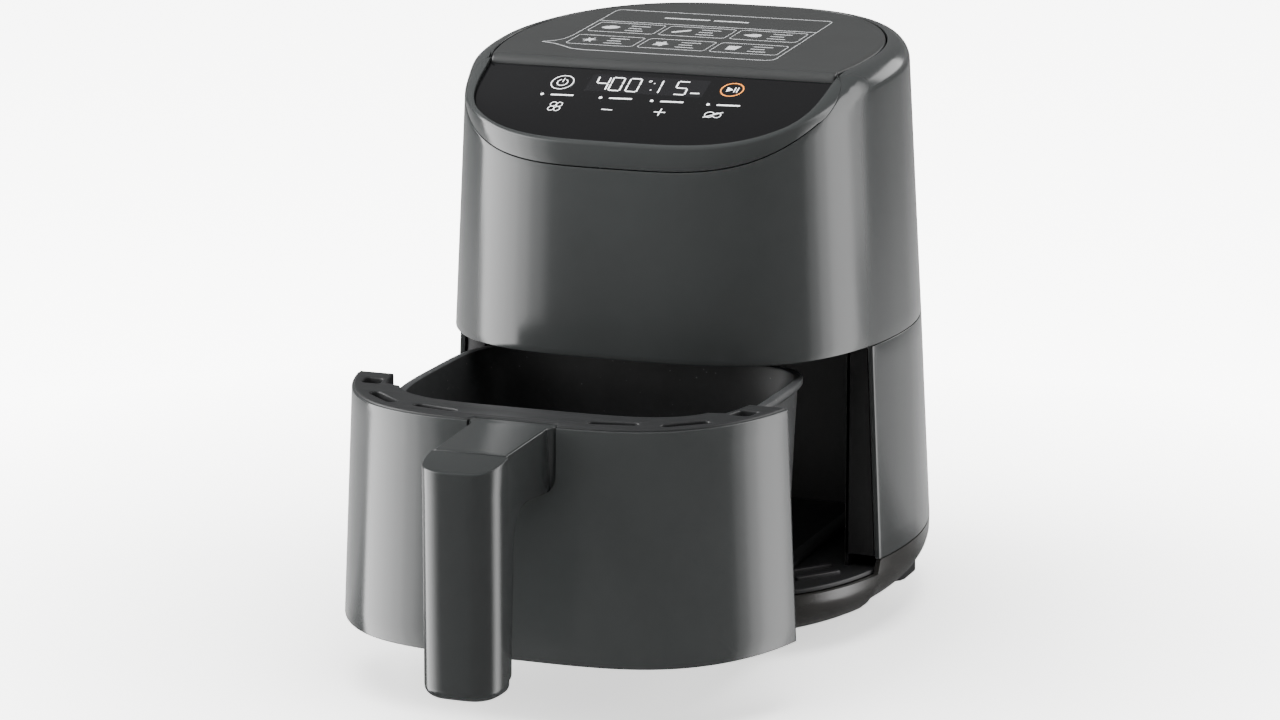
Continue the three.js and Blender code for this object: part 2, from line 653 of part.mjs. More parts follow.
function buildHandle() {
  const bracketBlank = box(-15, 15, -100.6, -60, 106, BASKET_TOP - 4.5);
  const basketSpace = loft([ovalRing(BASKET, 90, 1.2), ovalRing(BASKET, 130, 1.2)]);
  addMesh('handle_bracket', cut(bracketBlank, basketSpace), steel, drawer);

  const side = new THREE.Shape();
  side.moveTo(-101, ARM.bottom);
  side.lineTo(-124, ARM.bottom + 1);
  side.quadraticCurveTo(-138, ARM.bottom + 0.5, -138.6, 84);
  side.lineTo(-140.5, 34);
  side.quadraticCurveTo(-141, 30, GRIP.seam + 0.3, 29.5);
  side.lineTo(GRIP.seam + 0.3, 125.2);
  side.lineTo(-101, ARM.top);
  const waist = [
    [-ARM.half, -90], [-ARM.half, -104], [-17.2, -114], [-15.4, -132], [-15.4, -138], [-16.2, -141.5],
    [-16.2, -160],
  ];
  const mirrored = waist.map(([x, y]) => [-x, y]).reverse();
  const arm = sideProfile(side, 30).intersect(prism([...waist, ...mirrored], 0, 200));
  addMesh('handle_arm', arm, charcoal, drawer);

  const gripRing = (z, inset) => {
    const shape = new THREE.Shape();
    const half = GRIP.half - inset;
    const front = GRIP.front + inset;
    shape.moveTo(-half, GRIP.seam);
    shape.lineTo(-half, front + 11);
    shape.quadraticCurveTo(-half, front, -half + 11, front);
    shape.lineTo(half - 11, front);
    shape.quadraticCurveTo(half, front, half, front + 11);
    shape.lineTo(half, GRIP.seam);
    return shape.getPoints(6).slice(0, -1).map((point) => new THREE.Vector3(point.x, point.y, z));
  };
  const blank = loft([
    gripRing(GRIP.bottom, 4), gripRing(GRIP.bottom + 1.2, 1.4),
    gripRing(GRIP.bottom + 4, 0), gripRing(140, 0),
  ]);
  const moon = polygonProfile(
    [[GRIP.seam + 5, 126.2], [GRIP.front - 5, 120.7], [GRIP.front - 5, 160], [GRIP.seam + 5, 160]], 40,
  );
  addMesh('grip_front', cut(blank, moon), charcoal, drawer);
}

function buildHandleScrews() {
  [-9, 9].forEach((x, i) => {
    const geometry = new THREE.CylinderGeometry(3, 3, 2.4, 12);
    geometry.translate(x, BASKET_INNER_FRONT, 113);
    addMesh(`handle_screw_${i}`, solid(geometry), steel, drawer);
  });
}

const BASKET_INNER_FRONT = -73.5; // where the screw heads bear on the inside of the basket wall
const PLATE_INSET = 9.4;
const PLATE_THICKNESS = 1.6;

function buildCrisperPlate() {
  const plate = loft([
    ovalRing(BASKET, PLATE_HEIGHT, PLATE_INSET),
    ovalRing(BASKET, PLATE_HEIGHT + PLATE_THICKNESS, PLATE_INSET),
  ]);
  const holes = [];
  for (let row = -2; row <= 2; row += 1) {
    for (let column = -2; column <= 2; column += 1) {
      holes.push(post(4.5, column * 24, FAN_AXIS_Y + row * 22, 40, 70, 8));
    }
  }
  addMesh('crisper_plate', cut(plate, ...holes), nonstick, drawer);
}

// Silicone tips clipped over the plate's edge at four places.
function buildBumpers() {
  [0.62, Math.PI - 0.62, Math.PI + 0.72, -0.72].forEach((angle, i) => {
    const [x, y] = ovalPoint(angle, BASKET, PLATE_INSET);
    const [nextX, nextY] = ovalPoint(angle + 0.01, BASKET, PLATE_INSET);
    const turn = Math.atan2(nextY - y, nextX - x) - Math.PI / 2;
    const clip = cut(
      box(-4, 1.4, -4, 4, -2.2, 4), box(-8, GAP, -10, 10, -GAP, PLATE_THICKNESS + GAP),
    );
    const mesh = addMesh(`plate_bumper_${i}`, clip, silicone, drawer);
    mesh.position.set(x, y, PLATE_HEIGHT);
    mesh.rotation.z = turn;
  });
}

buildUpperHousing();
buildLowerShell();
buildBase();
buildFeetAndScrews();
buildTopCover();
buildControlPanel();
buildCavity();
buildChamber();
buildHeatingElement();
buildGuard();
buildFanAndMotor();
buildExhaust();
buildSensors();
buildPowerBoard();
buildSwitch();
buildGland();
buildDrawerFront();
buildRimCap();
buildBasket();
buildHandle();
buildHandleScrews();
buildCrisperPlate();
buildBumpers();

// Put the origin under the middle of the whole object, drawer included.
const bounds = new THREE.Box3().setFromObject(housing);
housing.position.y = -(bounds.min.y + bounds.max.y) / 2;
airFryer.updateMatrixWorld(true);

export default airFryer;
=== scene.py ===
import json
import math

import bpy
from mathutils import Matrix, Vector
from mathutils.geometry import tessellate_polygon

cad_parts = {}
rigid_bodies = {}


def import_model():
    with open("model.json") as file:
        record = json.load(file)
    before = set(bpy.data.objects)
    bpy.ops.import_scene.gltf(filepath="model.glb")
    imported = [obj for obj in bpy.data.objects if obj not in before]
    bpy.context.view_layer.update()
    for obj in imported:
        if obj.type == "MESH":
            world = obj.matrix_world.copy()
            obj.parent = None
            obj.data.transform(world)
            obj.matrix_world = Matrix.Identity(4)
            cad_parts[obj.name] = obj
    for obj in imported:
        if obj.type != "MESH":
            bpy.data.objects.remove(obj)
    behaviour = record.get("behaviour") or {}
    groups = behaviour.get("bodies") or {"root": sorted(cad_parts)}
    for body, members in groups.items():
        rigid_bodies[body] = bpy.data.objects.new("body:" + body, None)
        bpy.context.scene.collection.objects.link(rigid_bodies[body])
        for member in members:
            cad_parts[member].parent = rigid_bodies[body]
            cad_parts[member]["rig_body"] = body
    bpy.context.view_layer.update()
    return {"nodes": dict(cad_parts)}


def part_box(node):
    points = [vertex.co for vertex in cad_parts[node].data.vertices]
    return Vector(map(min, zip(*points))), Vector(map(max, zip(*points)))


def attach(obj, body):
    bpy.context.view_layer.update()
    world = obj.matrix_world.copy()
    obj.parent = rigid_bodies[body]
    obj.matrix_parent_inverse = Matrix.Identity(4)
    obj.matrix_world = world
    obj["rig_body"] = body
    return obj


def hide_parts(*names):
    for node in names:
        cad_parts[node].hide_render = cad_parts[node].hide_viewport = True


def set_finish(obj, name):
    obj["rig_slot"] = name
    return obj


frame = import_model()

# The design is written in millimetres round the body's own middle, as the CAD is.
# SHIFT_Y and DRAWER_OPEN, read from the frame, carry it into the frame's metres.
MM = 0.001
FAN_AXIS_Y = -10
BASKET_REAR = 57
shaft_low, shaft_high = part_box("fan_shaft")
SHIFT_Y = (shaft_low.y + shaft_high.y) / 2 / MM - FAN_AXIS_Y
DRAWER_OPEN = BASKET_REAR - (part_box("basket")[1].y / MM - SHIFT_Y)

REFERENCE_HEIGHT = 127.5
BODY = {"half": 100, "front": 104.2, "rear": 104.4, "front_powers": (3.6, 2.1), "rear_powers": (2.9, 1.8)}
TAPER = {"half": 0.046, "front": 0.025, "rear": 0.105}
BASKET = {"half": 78.5, "front": 80.5, "rear": BASKET_REAR,
          "front_powers": (4.5, 3.4), "rear_powers": (5.5, 4.5)}
WALL = 2.4
GAP = 0.35
BASE_BOTTOM = 7
BASE_TOP = 34.5
BASE_LIP = 28
BASE_SIDE_BOTTOM = 11
SKIRT_END = -32
HOUSING_BOTTOM = 129.8
CREASE_Y = -44
CREASE_Z = 247.8
PANEL_DROP = 3.8
RIM_RISE = 1.5
TOP_SLOPE = 0.0625
PANEL_SLOPE = 0.4
GLASS_THICKNESS = 3
CUT_Y = -40
DRAWER_BOTTOM = 28.8
DRAWER_TOP = 127.8
BASKET_BOTTOM = 33.4
BASKET_TOP = 122
PLATE_HEIGHT = 52
GRIP = {"half": 16.6, "seam": -147.6, "front": -166, "bottom": 27.5}
ARM = {"half": 18.9, "bottom": 98.8, "top": 127.4}
CAVITY = {"half": 84, "rear": 64, "floor": 28.4, "corner": 22}
PLUNGER_PLAY = 0.8
VENT = {"half": 27, "low": 141, "high": 169}
COLUMNS = 240  # points round a full body outline
FLOOR_GLOW = (1.2, 7.0)  # painted glow of the floor as the camera sees it, near the part and far off: less near the part, a painted soft shadow round it


# ---- outlines and heights -----------------------------------------------------------------
def oval_point(angle, outline, inset=0.0):
    """Point of an outline in the direction of an angle, pulled in by an inset."""
    across = math.cos(angle)
    along = math.sin(angle)
    half = outline["half"] - inset
    depth = (outline["front"] if along < 0 else outline["rear"]) - inset
    p, q = outline["front_powers"] if along < 0 else outline["rear_powers"]
    low = 0.0
    high = half + depth
    for _ in range(36):
        middle = (low + high) / 2
        if abs(middle * across / half) ** p + abs(middle * along / depth) ** q > 1:
            high = middle
        else:
            low = middle
    return high * across, high * along


def body_outline(z):
    drop = REFERENCE_HEIGHT - z
    return {**BODY, **{key: BODY[key] + TAPER[key] * drop for key in TAPER}}


def body_point(angle, z, inset=0.0):
    x, y = oval_point(angle, body_outline(z), inset)
    return x, y, z


def angle_at(y, outline, inset=0.0):
    """Angle on the right-hand side of an outline where it reaches a given y."""
    low, high = -math.pi / 2, math.pi / 2
    for _ in range(36):
        middle = (low + high) / 2
        if oval_point(middle, outline, inset)[1] < y:
            low = middle
        else:
            high = middle
    return high


def smoothstep(low, high, value):
    t = min(max((value - low) / (high - low), 0.0), 1.0)
    return t * t * (3 - 2 * t)


def blend_value(start, end, share):
    return start + (end - start) * share


def cover_height(y):
    return CREASE_Z + TOP_SLOPE * (y - CREASE_Y)


def panel_height(y):
    return CREASE_Z - PANEL_DROP + PANEL_SLOPE * (y - CREASE_Y)


def rim_height(y):
    """Top of the housing's rim: the two slopes, eased into each other at the crease."""
    ease = 1.2
    flat = cover_height(y)
    steep = panel_height(y) + RIM_RISE
    return (flat + steep - math.sqrt((flat - steep) ** 2 + ease)) / 2


def shoulder_radius(y):
    return blend_value(1.5, 10, smoothstep(-84, -44, y))


def collar_line(y):
    return 211.4 + 0.58 * (y + 102)


def full_turn(count=COLUMNS):
    return [2 * math.pi * i / count for i in range(count)]


# ---- meshes ----------------------------------------------------------------------------------
def make_piece(name, points, faces, body, material, slot, replaced=()):
    """A new piece from points in millimetres; drawer pieces are written in the closed position."""
    moved = SHIFT_Y - (DRAWER_OPEN if body in ("drawer", "plate") else 0)
    mesh = bpy.data.meshes.new(name)
    mesh.from_pydata([(x * MM, (y + moved) * MM, z * MM) for x, y, z in points], [], faces)
    mesh.validate()
    mesh.materials.append(material)
    piece = bpy.data.objects.new(name, mesh)
    bpy.context.scene.collection.objects.link(piece)
    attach(piece, body)
    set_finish(piece, slot)
    if replaced:
        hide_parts(*replaced)
    return piece


def add_bevel(piece, width, angle=40, segments=3):
    bevel = piece.modifiers.new("edges", "BEVEL")
    bevel.width = width * MM
    bevel.segments = segments
    bevel.limit_method = "ANGLE"
    bevel.angle_limit = math.radians(angle)
    bevel.use_clamp_overlap = True


def settle(piece, sharp_angle=35):
    """Applies a piece's modifiers and shades it smooth with sharp edges past an angle."""
    graph = bpy.context.evaluated_depsgraph_get()
    mesh = bpy.data.meshes.new_from_object(piece.evaluated_get(graph))
    piece.modifiers.clear()
    piece.data = mesh
    mesh.polygons.foreach_set("use_smooth", [True] * len(mesh.polygons))
    mesh.set_sharp_from_angle(angle=math.radians(sharp_angle))
    mesh.update()
    return piece


def grid_faces(rows, columns, wrap=False, first=0):
    faces = []
    for r in range(rows - 1):
        for c in range(columns if wrap else columns - 1):
            a = first + r * columns + c
            b = first + r * columns + (c + 1) % columns
            faces.append((a, b, b + columns, a + columns))
    return faces


def skin(name, rows, body, material, slot, replaced=(), thickness=WALL, bevel=0.35, wrap=False):
    """A sheet through rows of points, given a wall thickness inwards and softened edges."""
    count, columns = len(rows), len(rows[0])
    inner = []
    normal = Vector((0, -1, 0))
    for r in range(count):
        for c in range(columns):
            ahead = (c + 1) % columns if wrap else min(c + 1, columns - 1)
            behind = c - 1 if wrap else max(c - 1, 0)
            along = Vector(rows[r][ahead]) - Vector(rows[r][behind])
            up = Vector(rows[min(r + 1, count - 1)][c]) - Vector(rows[max(r - 1, 0)][c])
            crossed = along.cross(up)
            if crossed.length > 1e-4:
                normal = crossed.normalized()
            inner.append(tuple(Vector(rows[r][c]) - normal * thickness))
    points = [point for row in rows for point in row] + inner
    total = count * columns
    faces = grid_faces(count, columns, wrap)
    faces += [tuple(index + total for index in reversed(face)) for face in faces]
    for c in range(columns if wrap else columns - 1):
        a, b = c, (c + 1) % columns
        faces.append((b, a, a + total, b + total))
        a, b = a + total - columns, b + total - columns
        faces.append((a, b, b + total, a + total))
    if not wrap:
        for r in range(count - 1):
            a, b = r * columns, (r + 1) * columns
            faces.append((a, b, b + total, a + total))
            a, b = a + columns - 1, b + columns - 1
            faces.append((b, a, a + total, b + total))
    piece = make_piece(name, points, faces, body, material, slot, replaced)
    add_bevel(piece, bevel)
    return settle(piece)


def closed_loft(name, rows, body, material, slot, replaced=()):
    """A closed body through rings of points, with its first and last ring capped."""
    columns = len(rows[0])
    points = [point for row in rows for point in row]
    last = (len(rows) - 1) * columns
    faces = grid_faces(len(rows), columns, wrap=True)
    faces.append(tuple(reversed(range(columns))))
    faces.append(tuple(range(last, last + columns)))
    piece = make_piece(name, points, faces, body, material, slot, replaced)
    return settle(piece)


def inset_loop(loop, distance):
    """Moves a loop to its left by a distance: inwards when it runs anticlockwise."""
    moved = []
    for i, (x, y) in enumerate(loop):
        before = Vector(loop[i - 1])
        here = Vector((x, y))
        after = Vector(loop[(i + 1) % len(loop)])
        one = (here - before).normalized()
        two = (after - here).normalized()
        left = Vector((-one.y - two.y, one.x + two.x))
        reach = left.length_squared / 2
        moved.append(tuple(here + left * (distance / max(reach, 0.3))))
    return moved


def is_anticlockwise(loop):
    return sum(a[0] * b[1] - b[0] * a[1] for a, b in zip(loop, loop[1:] + loop[:1])) > 0


def plate(name, outer, holes, low, high, edge, body, material, slot, replaced=(), steps=3):
    """A plate with holes and rounded upper edges. low and high are heights as functions of (x, y)."""
    loops = [outer if is_anticlockwise(outer) else outer[::-1]]
    loops += [hole[::-1] if is_anticlockwise(hole) else hole for hole in holes]
    points = []
    faces = []
    top_loops = []
    top_start = []
    bottom_start = []
    for loop in loops:
        count = len(loop)
        start = len(points)
        bottom_start.append(start)
        points += [(x, y, low(x, y)) for x, y in loop]
        for k in range(steps + 1):
            phi = math.pi / 2 * k / steps
            ring = inset_loop(loop, edge * (1 - math.cos(phi)))
            points += [(x, y, high(x, y) - edge * (1 - math.sin(phi))) for x, y in ring]
        top_start.append(len(points) - count)
        top_loops.append(ring)
        faces += grid_faces(steps + 2, count, wrap=True, first=start)
    for rings, starts, upward in ((top_loops, top_start, True), (loops, bottom_start, False)):
        lookup = [start + i for ring, start in zip(rings, starts) for i in range(len(ring))]
        flat = [[Vector((x, y, 0)) for x, y in ring] for ring in rings]
        corners = [corner for ring in rings for corner in ring]
        for a, b, c in tessellate_polygon(flat):
            (ax, ay), (bx, by), (cx, cy) = corners[a], corners[b], corners[c]
            turns_left = (bx - ax) * (cy - ay) - (by - ay) * (cx - ax) > 0
            face = (lookup[a], lookup[b], lookup[c])
            faces.append(face if turns_left == upward else face[::-1])
    return settle(make_piece(name, points, faces, body, material, slot, replaced), 50)


def circle(x, y, radius, count=20):
    return [(x + radius * math.cos(a), y + radius * math.sin(a)) for a in full_turn(count)]


def stadium(x, y, length, width, turn, count=6):
    """A slot's outline: two half circles joined by straight sides, turned about its middle."""
    radius = width / 2
    reach = length / 2 - radius
    loop = []
    for side in (1, -1):
        for i in range(count + 1):
            a = math.pi * (i / count - 0.5)
            loop.append((side * (reach + radius * math.cos(a)), side * radius * math.sin(a)))
    cosine, sine = math.cos(turn), math.sin(turn)
    return [(x + u * cosine - v * sine, y + u * sine + v * cosine) for u, v in loop]


def cut_with(piece, points, faces):
    """Cuts a hole out of a piece with a closed cutter, in the same millimetres as the piece."""
    cutter = make_piece("cutter", points, faces, piece["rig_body"], piece.data.materials[0], piece["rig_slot"])
    hole = piece.modifiers.new("hole", "BOOLEAN")
    hole.operation = "DIFFERENCE"
    hole.solver = "EXACT"
    hole.object = cutter
    settle(piece)
    bpy.data.objects.remove(cutter)


def prism(loop, start, end, axis="y"):
    """Points and faces of a loop carried from start to end along y or z."""
    place = (lambda a, b, t: (a, t, b)) if axis == "y" else (lambda a, b, t: (a, b, t))
    points = [place(a, b, t) for t in (start, end) for a, b in loop]
    count = len(loop)
    faces = grid_faces(2, count, wrap=True)
    faces += [tuple(reversed(range(count))), tuple(range(count, 2 * count))]
    return points, faces


def refined(node, body, material, slot, bevel=0.4, name=None):
    """A copy of a CAD node with its edges softened."""
    mesh = frame["nodes"][node].data.copy()
    mesh.materials.clear()
    mesh.materials.append(material)
    piece = bpy.data.objects.new(name or node + "_fine", mesh)
    bpy.context.scene.collection.objects.link(piece)
    weld = piece.modifiers.new("weld", "WELD")
    weld.merge_threshold = 0.00002
    flat = piece.modifiers.new("flat", "DECIMATE")
    flat.decimate_type = "DISSOLVE"
    flat.angle_limit = math.radians(1)
    add_bevel(piece, bevel, segments=2)
    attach(piece, body)
    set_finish(piece, slot)
    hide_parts(node)
    return settle(piece)


# ---- materials ------------------------------------------------------------------------------
def shader_nodes(name):
    material = bpy.data.materials.new(name)
    material.use_nodes = True
    tree = material.node_tree
    return material, tree, tree.nodes["Principled BSDF"]


def add_node(tree, kind, **values):
    node = tree.nodes.new(kind)
    for key, value in values.items():
        if hasattr(node, key):
            setattr(node, key, value)
        else:
            node.inputs[key].default_value = value
    return node


def maths(tree, operation, *values):
    """A maths node fed with sockets or plain numbers."""
    node = add_node(tree, "ShaderNodeMath", operation=operation)
    for socket, value in zip(node.inputs, values):
        if isinstance(value, float):
            socket.default_value = value
        else:
            tree.links.new(value, socket)
    return node.outputs["Value"]


def noise(tree, scale, detail=3.0, roughness=0.55):
    coordinates = add_node(tree, "ShaderNodeTexCoord")
    texture = add_node(tree, "ShaderNodeTexNoise")
    texture.inputs["Scale"].default_value = scale
    texture.inputs["Detail"].default_value = detail
    texture.inputs["Roughness"].default_value = roughness
    tree.links.new(coordinates.outputs["Object"], texture.inputs["Vector"])
    return texture.outputs["Fac"]


def ramp(tree, value, stops):
    node = add_node(tree, "ShaderNodeValToRGB")
    elements = node.color_ramp.elements
    while len(elements) < len(stops):
        elements.new(0.5)
    for element, (position, color) in zip(elements, stops):
        element.position = position
        element.color = (*color, 1)
    tree.links.new(value, node.inputs["Fac"])
    return node.outputs["Color"]


def map_range(tree, value, low, high):
    node = add_node(tree, "ShaderNodeMapRange")
    node.inputs["To Min"].default_value = low
    node.inputs["To Max"].default_value = high
    tree.links.new(value, node.inputs["Value"])
    return node.outputs["Result"]


def moulded(name, color, roughness, spread=0.03, grain=900.0, depth=0.02, coat=0.0, metallic=0.0,
            specular=0.5, tint=0.05):
    """Moulded plastic or paint: faint mottling, uneven gloss and a fine surface grain."""
    material, tree, shader = shader_nodes(name)
    darker = tuple(c * (1 - tint) for c in color)
    lighter = tuple(c * (1 + tint) for c in color)
    cloud = noise(tree, 35.0, 4.0)
    tree.links.new(ramp(tree, cloud, [(0.3, darker), (0.7, lighter)]), shader.inputs["Base Color"])
    gloss = map_range(tree, noise(tree, 140.0, 5.0), roughness - spread / 2, roughness + spread / 2)
    tree.links.new(gloss, shader.inputs["Roughness"])
    bump = add_node(tree, "ShaderNodeBump")
    bump.inputs["Strength"].default_value = depth
    bump.inputs["Distance"].default_value = 0.0004
    tree.links.new(noise(tree, grain, 2.0), bump.inputs["Height"])
    tree.links.new(bump.outputs["Normal"], shader.inputs["Normal"])
    shader.inputs["Metallic"].default_value = metallic
    shader.inputs["Coat Weight"].default_value = coat
    shader.inputs["Coat Roughness"].default_value = 0.12
    shader.inputs["Specular IOR Level"].default_value = specular
    return material


def speckled(name, color, fleck, roughness):
    """Nonstick coat: dark ground with fine pale flecks and a slight pebble."""
    material, tree, shader = shader_nodes(name)
    coordinates = add_node(tree, "ShaderNodeTexCoord")
    cells = add_node(tree, "ShaderNodeTexVoronoi")
    cells.inputs["Scale"].default_value = 420.0
    tree.links.new(coordinates.outputs["Object"], cells.inputs["Vector"])
    near = ramp(tree, cells.outputs["Distance"], [(0.10, (1, 1, 1)), (0.22, (0, 0, 0))])
    some = ramp(tree, noise(tree, 260.0, 2.0), [(0.60, (0, 0, 0)), (0.66, (1, 1, 1))])
    mix = add_node(tree, "ShaderNodeMix", data_type="RGBA")
    tree.links.new(maths(tree, "MULTIPLY", near, some), mix.inputs["Factor"])
    ground = ramp(tree, noise(tree, 60.0, 4.0),
                  [(0.3, tuple(c * 0.85 for c in color)), (0.7, tuple(c * 1.15 for c in color))])
    tree.links.new(ground, mix.inputs[6])
    mix.inputs[7].default_value = (*fleck, 1)
    tree.links.new(mix.outputs[2], shader.inputs["Base Color"])
    tree.links.new(map_range(tree, noise(tree, 180.0, 4.0), roughness - 0.06, roughness + 0.08),
                   shader.inputs["Roughness"])
    bump = add_node(tree, "ShaderNodeBump")
    bump.inputs["Strength"].default_value = 0.10
    bump.inputs["Distance"].default_value = 0.0003
    tree.links.new(noise(tree, 1400.0, 2.0), bump.inputs["Height"])
    tree.links.new(bump.outputs["Normal"], shader.inputs["Normal"])
    return material


def brushed(name, color, roughness, metallic=1.0):
    """Sheet metal with fine drawn lines."""
    material, tree, shader = shader_nodes(name)
    coordinates = add_node(tree, "ShaderNodeTexCoord")
    stretch = add_node(tree, "ShaderNodeMapping")
    stretch.inputs["Scale"].default_value = (1.0, 1.0, 30.0)
    tree.links.new(coordinates.outputs["Object"], stretch.inputs["Vector"])
    lines = add_node(tree, "ShaderNodeTexNoise")
    lines.inputs["Scale"].default_value = 60.0
    lines.inputs["Detail"].default_value = 5.0
    tree.links.new(stretch.outputs["Vector"], lines.inputs["Vector"])
    darker = tuple(c * 0.85 for c in color)
    lighter = tuple(min(c * 1.1, 1) for c in color)
    tone = ramp(tree, lines.outputs["Fac"], [(0.3, darker), (0.7, lighter)])
    tree.links.new(tone, shader.inputs["Base Color"])
    tree.links.new(map_range(tree, lines.outputs["Fac"], roughness - 0.08, roughness + 0.08),
                   shader.inputs["Roughness"])
    shader.inputs["Metallic"].default_value = metallic
    return material


def printed(name, color, glow):
    """Printed or lit symbols, with a slight unevenness of ink."""
    material, tree, shader = shader_nodes(name)
    tone = ramp(tree, noise(tree, 900.0, 2.0), [(0.3, tuple(c * 0.92 for c in color)), (0.7, color)])
    tree.links.new(tone, shader.inputs["Base Color"])
    tree.links.new(tone, shader.inputs["Emission Color"])
    shader.inputs["Emission Strength"].default_value = glow
    shader.inputs["Roughness"].default_value = 0.45
    return material


CHARCOAL = moulded("charcoal_satin", (0.030, 0.032, 0.032), 0.17, spread=0.02, depth=0.0, tint=0.03)
HANDLE = moulded("handle_satin", (0.021, 0.0225, 0.0225), 0.22, spread=0.03, depth=0.0, tint=0.03)
COVER = moulded("cover_grey", (0.026, 0.027, 0.027), 0.36, depth=0.03, grain=1500.0)
GLASS = moulded("panel_gloss_black", (0.0035, 0.0035, 0.004), 0.09, spread=0.03, coat=0.6, depth=0.002)
WINDOW = moulded("display_window", (0.010, 0.010, 0.011), 0.12, spread=0.03, depth=0.002)
BLACK = moulded("black_matt", (0.010, 0.010, 0.0105), 0.5, depth=0.06, grain=1300.0)
DECK = moulded("deck_dark_grey", (0.0155, 0.016, 0.0165), 0.45, depth=0.05, grain=1300.0, specular=0.35)
WARM = moulded("base_warm_grey", (0.019, 0.0183, 0.0168), 0.24, depth=0.0, tint=0.03)
RUBBER = moulded("foot_rubber", (0.007, 0.007, 0.007), 0.75, depth=0.12, grain=800.0, specular=0.3)
SILICONE = moulded("silicone_dark", (0.020, 0.020, 0.021), 0.6, depth=0.04, specular=0.4)
NONSTICK = speckled("nonstick_speckle", (0.036, 0.037, 0.038), (0.16, 0.16, 0.16), 0.40)
STEEL = brushed("plated_steel", (0.55, 0.56, 0.57), 0.32)
SHEET = brushed("fan_sheet", (0.66, 0.67, 0.68), 0.38)
SHEATH = brushed("element_sheath", (0.10, 0.085, 0.078), 0.45, metallic=0.85)
COPPER = brushed("coil_copper", (0.55, 0.23, 0.10), 0.35)
BOARD = moulded("board_green", (0.012, 0.085, 0.040), 0.42, depth=0.03)
WHITE_INK = printed("panel_white", (0.86, 0.87, 0.88), 0.9)
ORANGE_INK = printed("panel_orange", (0.85, 0.30, 0.05), 0.7)
GREY_INK = printed("cover_line_grey", (0.50, 0.51, 0.52), 0.0)


# ---- outer housing -------------------------------------------------------------------------
def housing_path(angle):
    """The housing's side from its lower edge up and over the shoulder, as a function of 0 to 1."""
    edge_y = oval_point(angle, body_outline(CREASE_Z))[1]
    outline = body_outline(rim_height(edge_y))
    radius = shoulder_radius(edge_y)
    wall_share = 0.6

    def shoulder(phi):
        x, y = oval_point(angle, outline, radius * (1 - math.cos(phi)))
        return Vector((x, y, rim_height(y) - radius * (1 - math.sin(phi))))

    low = Vector(body_point(angle, HOUSING_BOTTOM))
    high = shoulder(0)

    def at(share):
        if share < wall_share:
            return low.lerp(high, share / wall_share)
        return shoulder((share - wall_share) / (1 - wall_share) * math.pi / 2)

    return at, edge_y


def seam_share(at, edge_y):
    """How far up its path a column meets the collar's seam; 1 where it never does."""
    if edge_y > CREASE_Y - 2:
        return 1.0
    low, high = 0.0, 1.0
    for _ in range(30):
        middle = (low + high) / 2
        point = at(middle)
        if point.z < collar_line(point.y):
            low = middle
        else:
            high = middle
    return high


def build_upper_housing():
    count = 28
    paths = [housing_path(angle) for angle in full_turn()]
    shares = [seam_share(at, edge_y) for at, edge_y in paths]
    rows = [[tuple(at(share * k / count)) for (at, _), share in zip(paths, shares)] for k in range(count + 1)]
    shell = skin("upper_housing_skin", rows, "housing", CHARCOAL, "charcoal_plastic", ("upper_housing",),
                 wrap=True)
    window = [(-VENT["half"], VENT["low"]), (VENT["half"], VENT["low"]),
              (VENT["half"], VENT["high"]), (-VENT["half"], VENT["high"])]
    cut_with(shell, *prism(window, 150, 60))


def build_collar():
    outline = body_outline(CREASE_Z)
    end = angle_at(CREASE_Y - 2.4, outline)
    count = 140
    steps = 14
    columns = []
    for i in range(count + 1):
        angle = blend_value(-math.pi - end, end, i / count)
        at, edge_y = housing_path(angle)
        low = seam_share(at, edge_y) + 0.0035
        columns.append([tuple(at(blend_value(low, 1.0, k / steps))) for k in range(steps + 1)])
    rows = [list(row) for row in zip(*columns)]
    skin("collar_skin", rows, "housing", CHARCOAL, "charcoal_plastic", ("collar_trim",), bevel=0.3)


def band_rows(low, high, end_y, front, steps):
    """Rows of the body's outline kept on one side of a plane across it."""
    rows = []
    count = 200
    for k in range(steps + 1):
        z = blend_value(low, high, k / steps)
        outline = body_outline(z)
        end = angle_at(end_y, outline)
        start, stop = (-math.pi - end, end) if front else (end, math.pi - end)
        rows.append([body_point(blend_value(start, stop, i / count), z) for i in range(count + 1)])
    return rows


def build_lower_shell():
    rows = band_rows(BASE_TOP + GAP, HOUSING_BOTTOM - GAP, CUT_Y + GAP, False, 10)
    skin("lower_shell_skin", rows, "housing", CHARCOAL, "charcoal_plastic", ("lower_shell",))


BASE_PROFILE = [(7, 22), (8.4, 16.5), (11, 10.6), (14, 6.9), (18, 3.9), (23, 1.7), (28, 0.5), (BASE_TOP, 0)]


def base_inset(z):
    for (z0, inset0), (z1, inset1) in zip(BASE_PROFILE, BASE_PROFILE[1:]):
        if z <= z1:
            return blend_value(inset0, inset1, (z - z0) / (z1 - z0))
    return 0.0


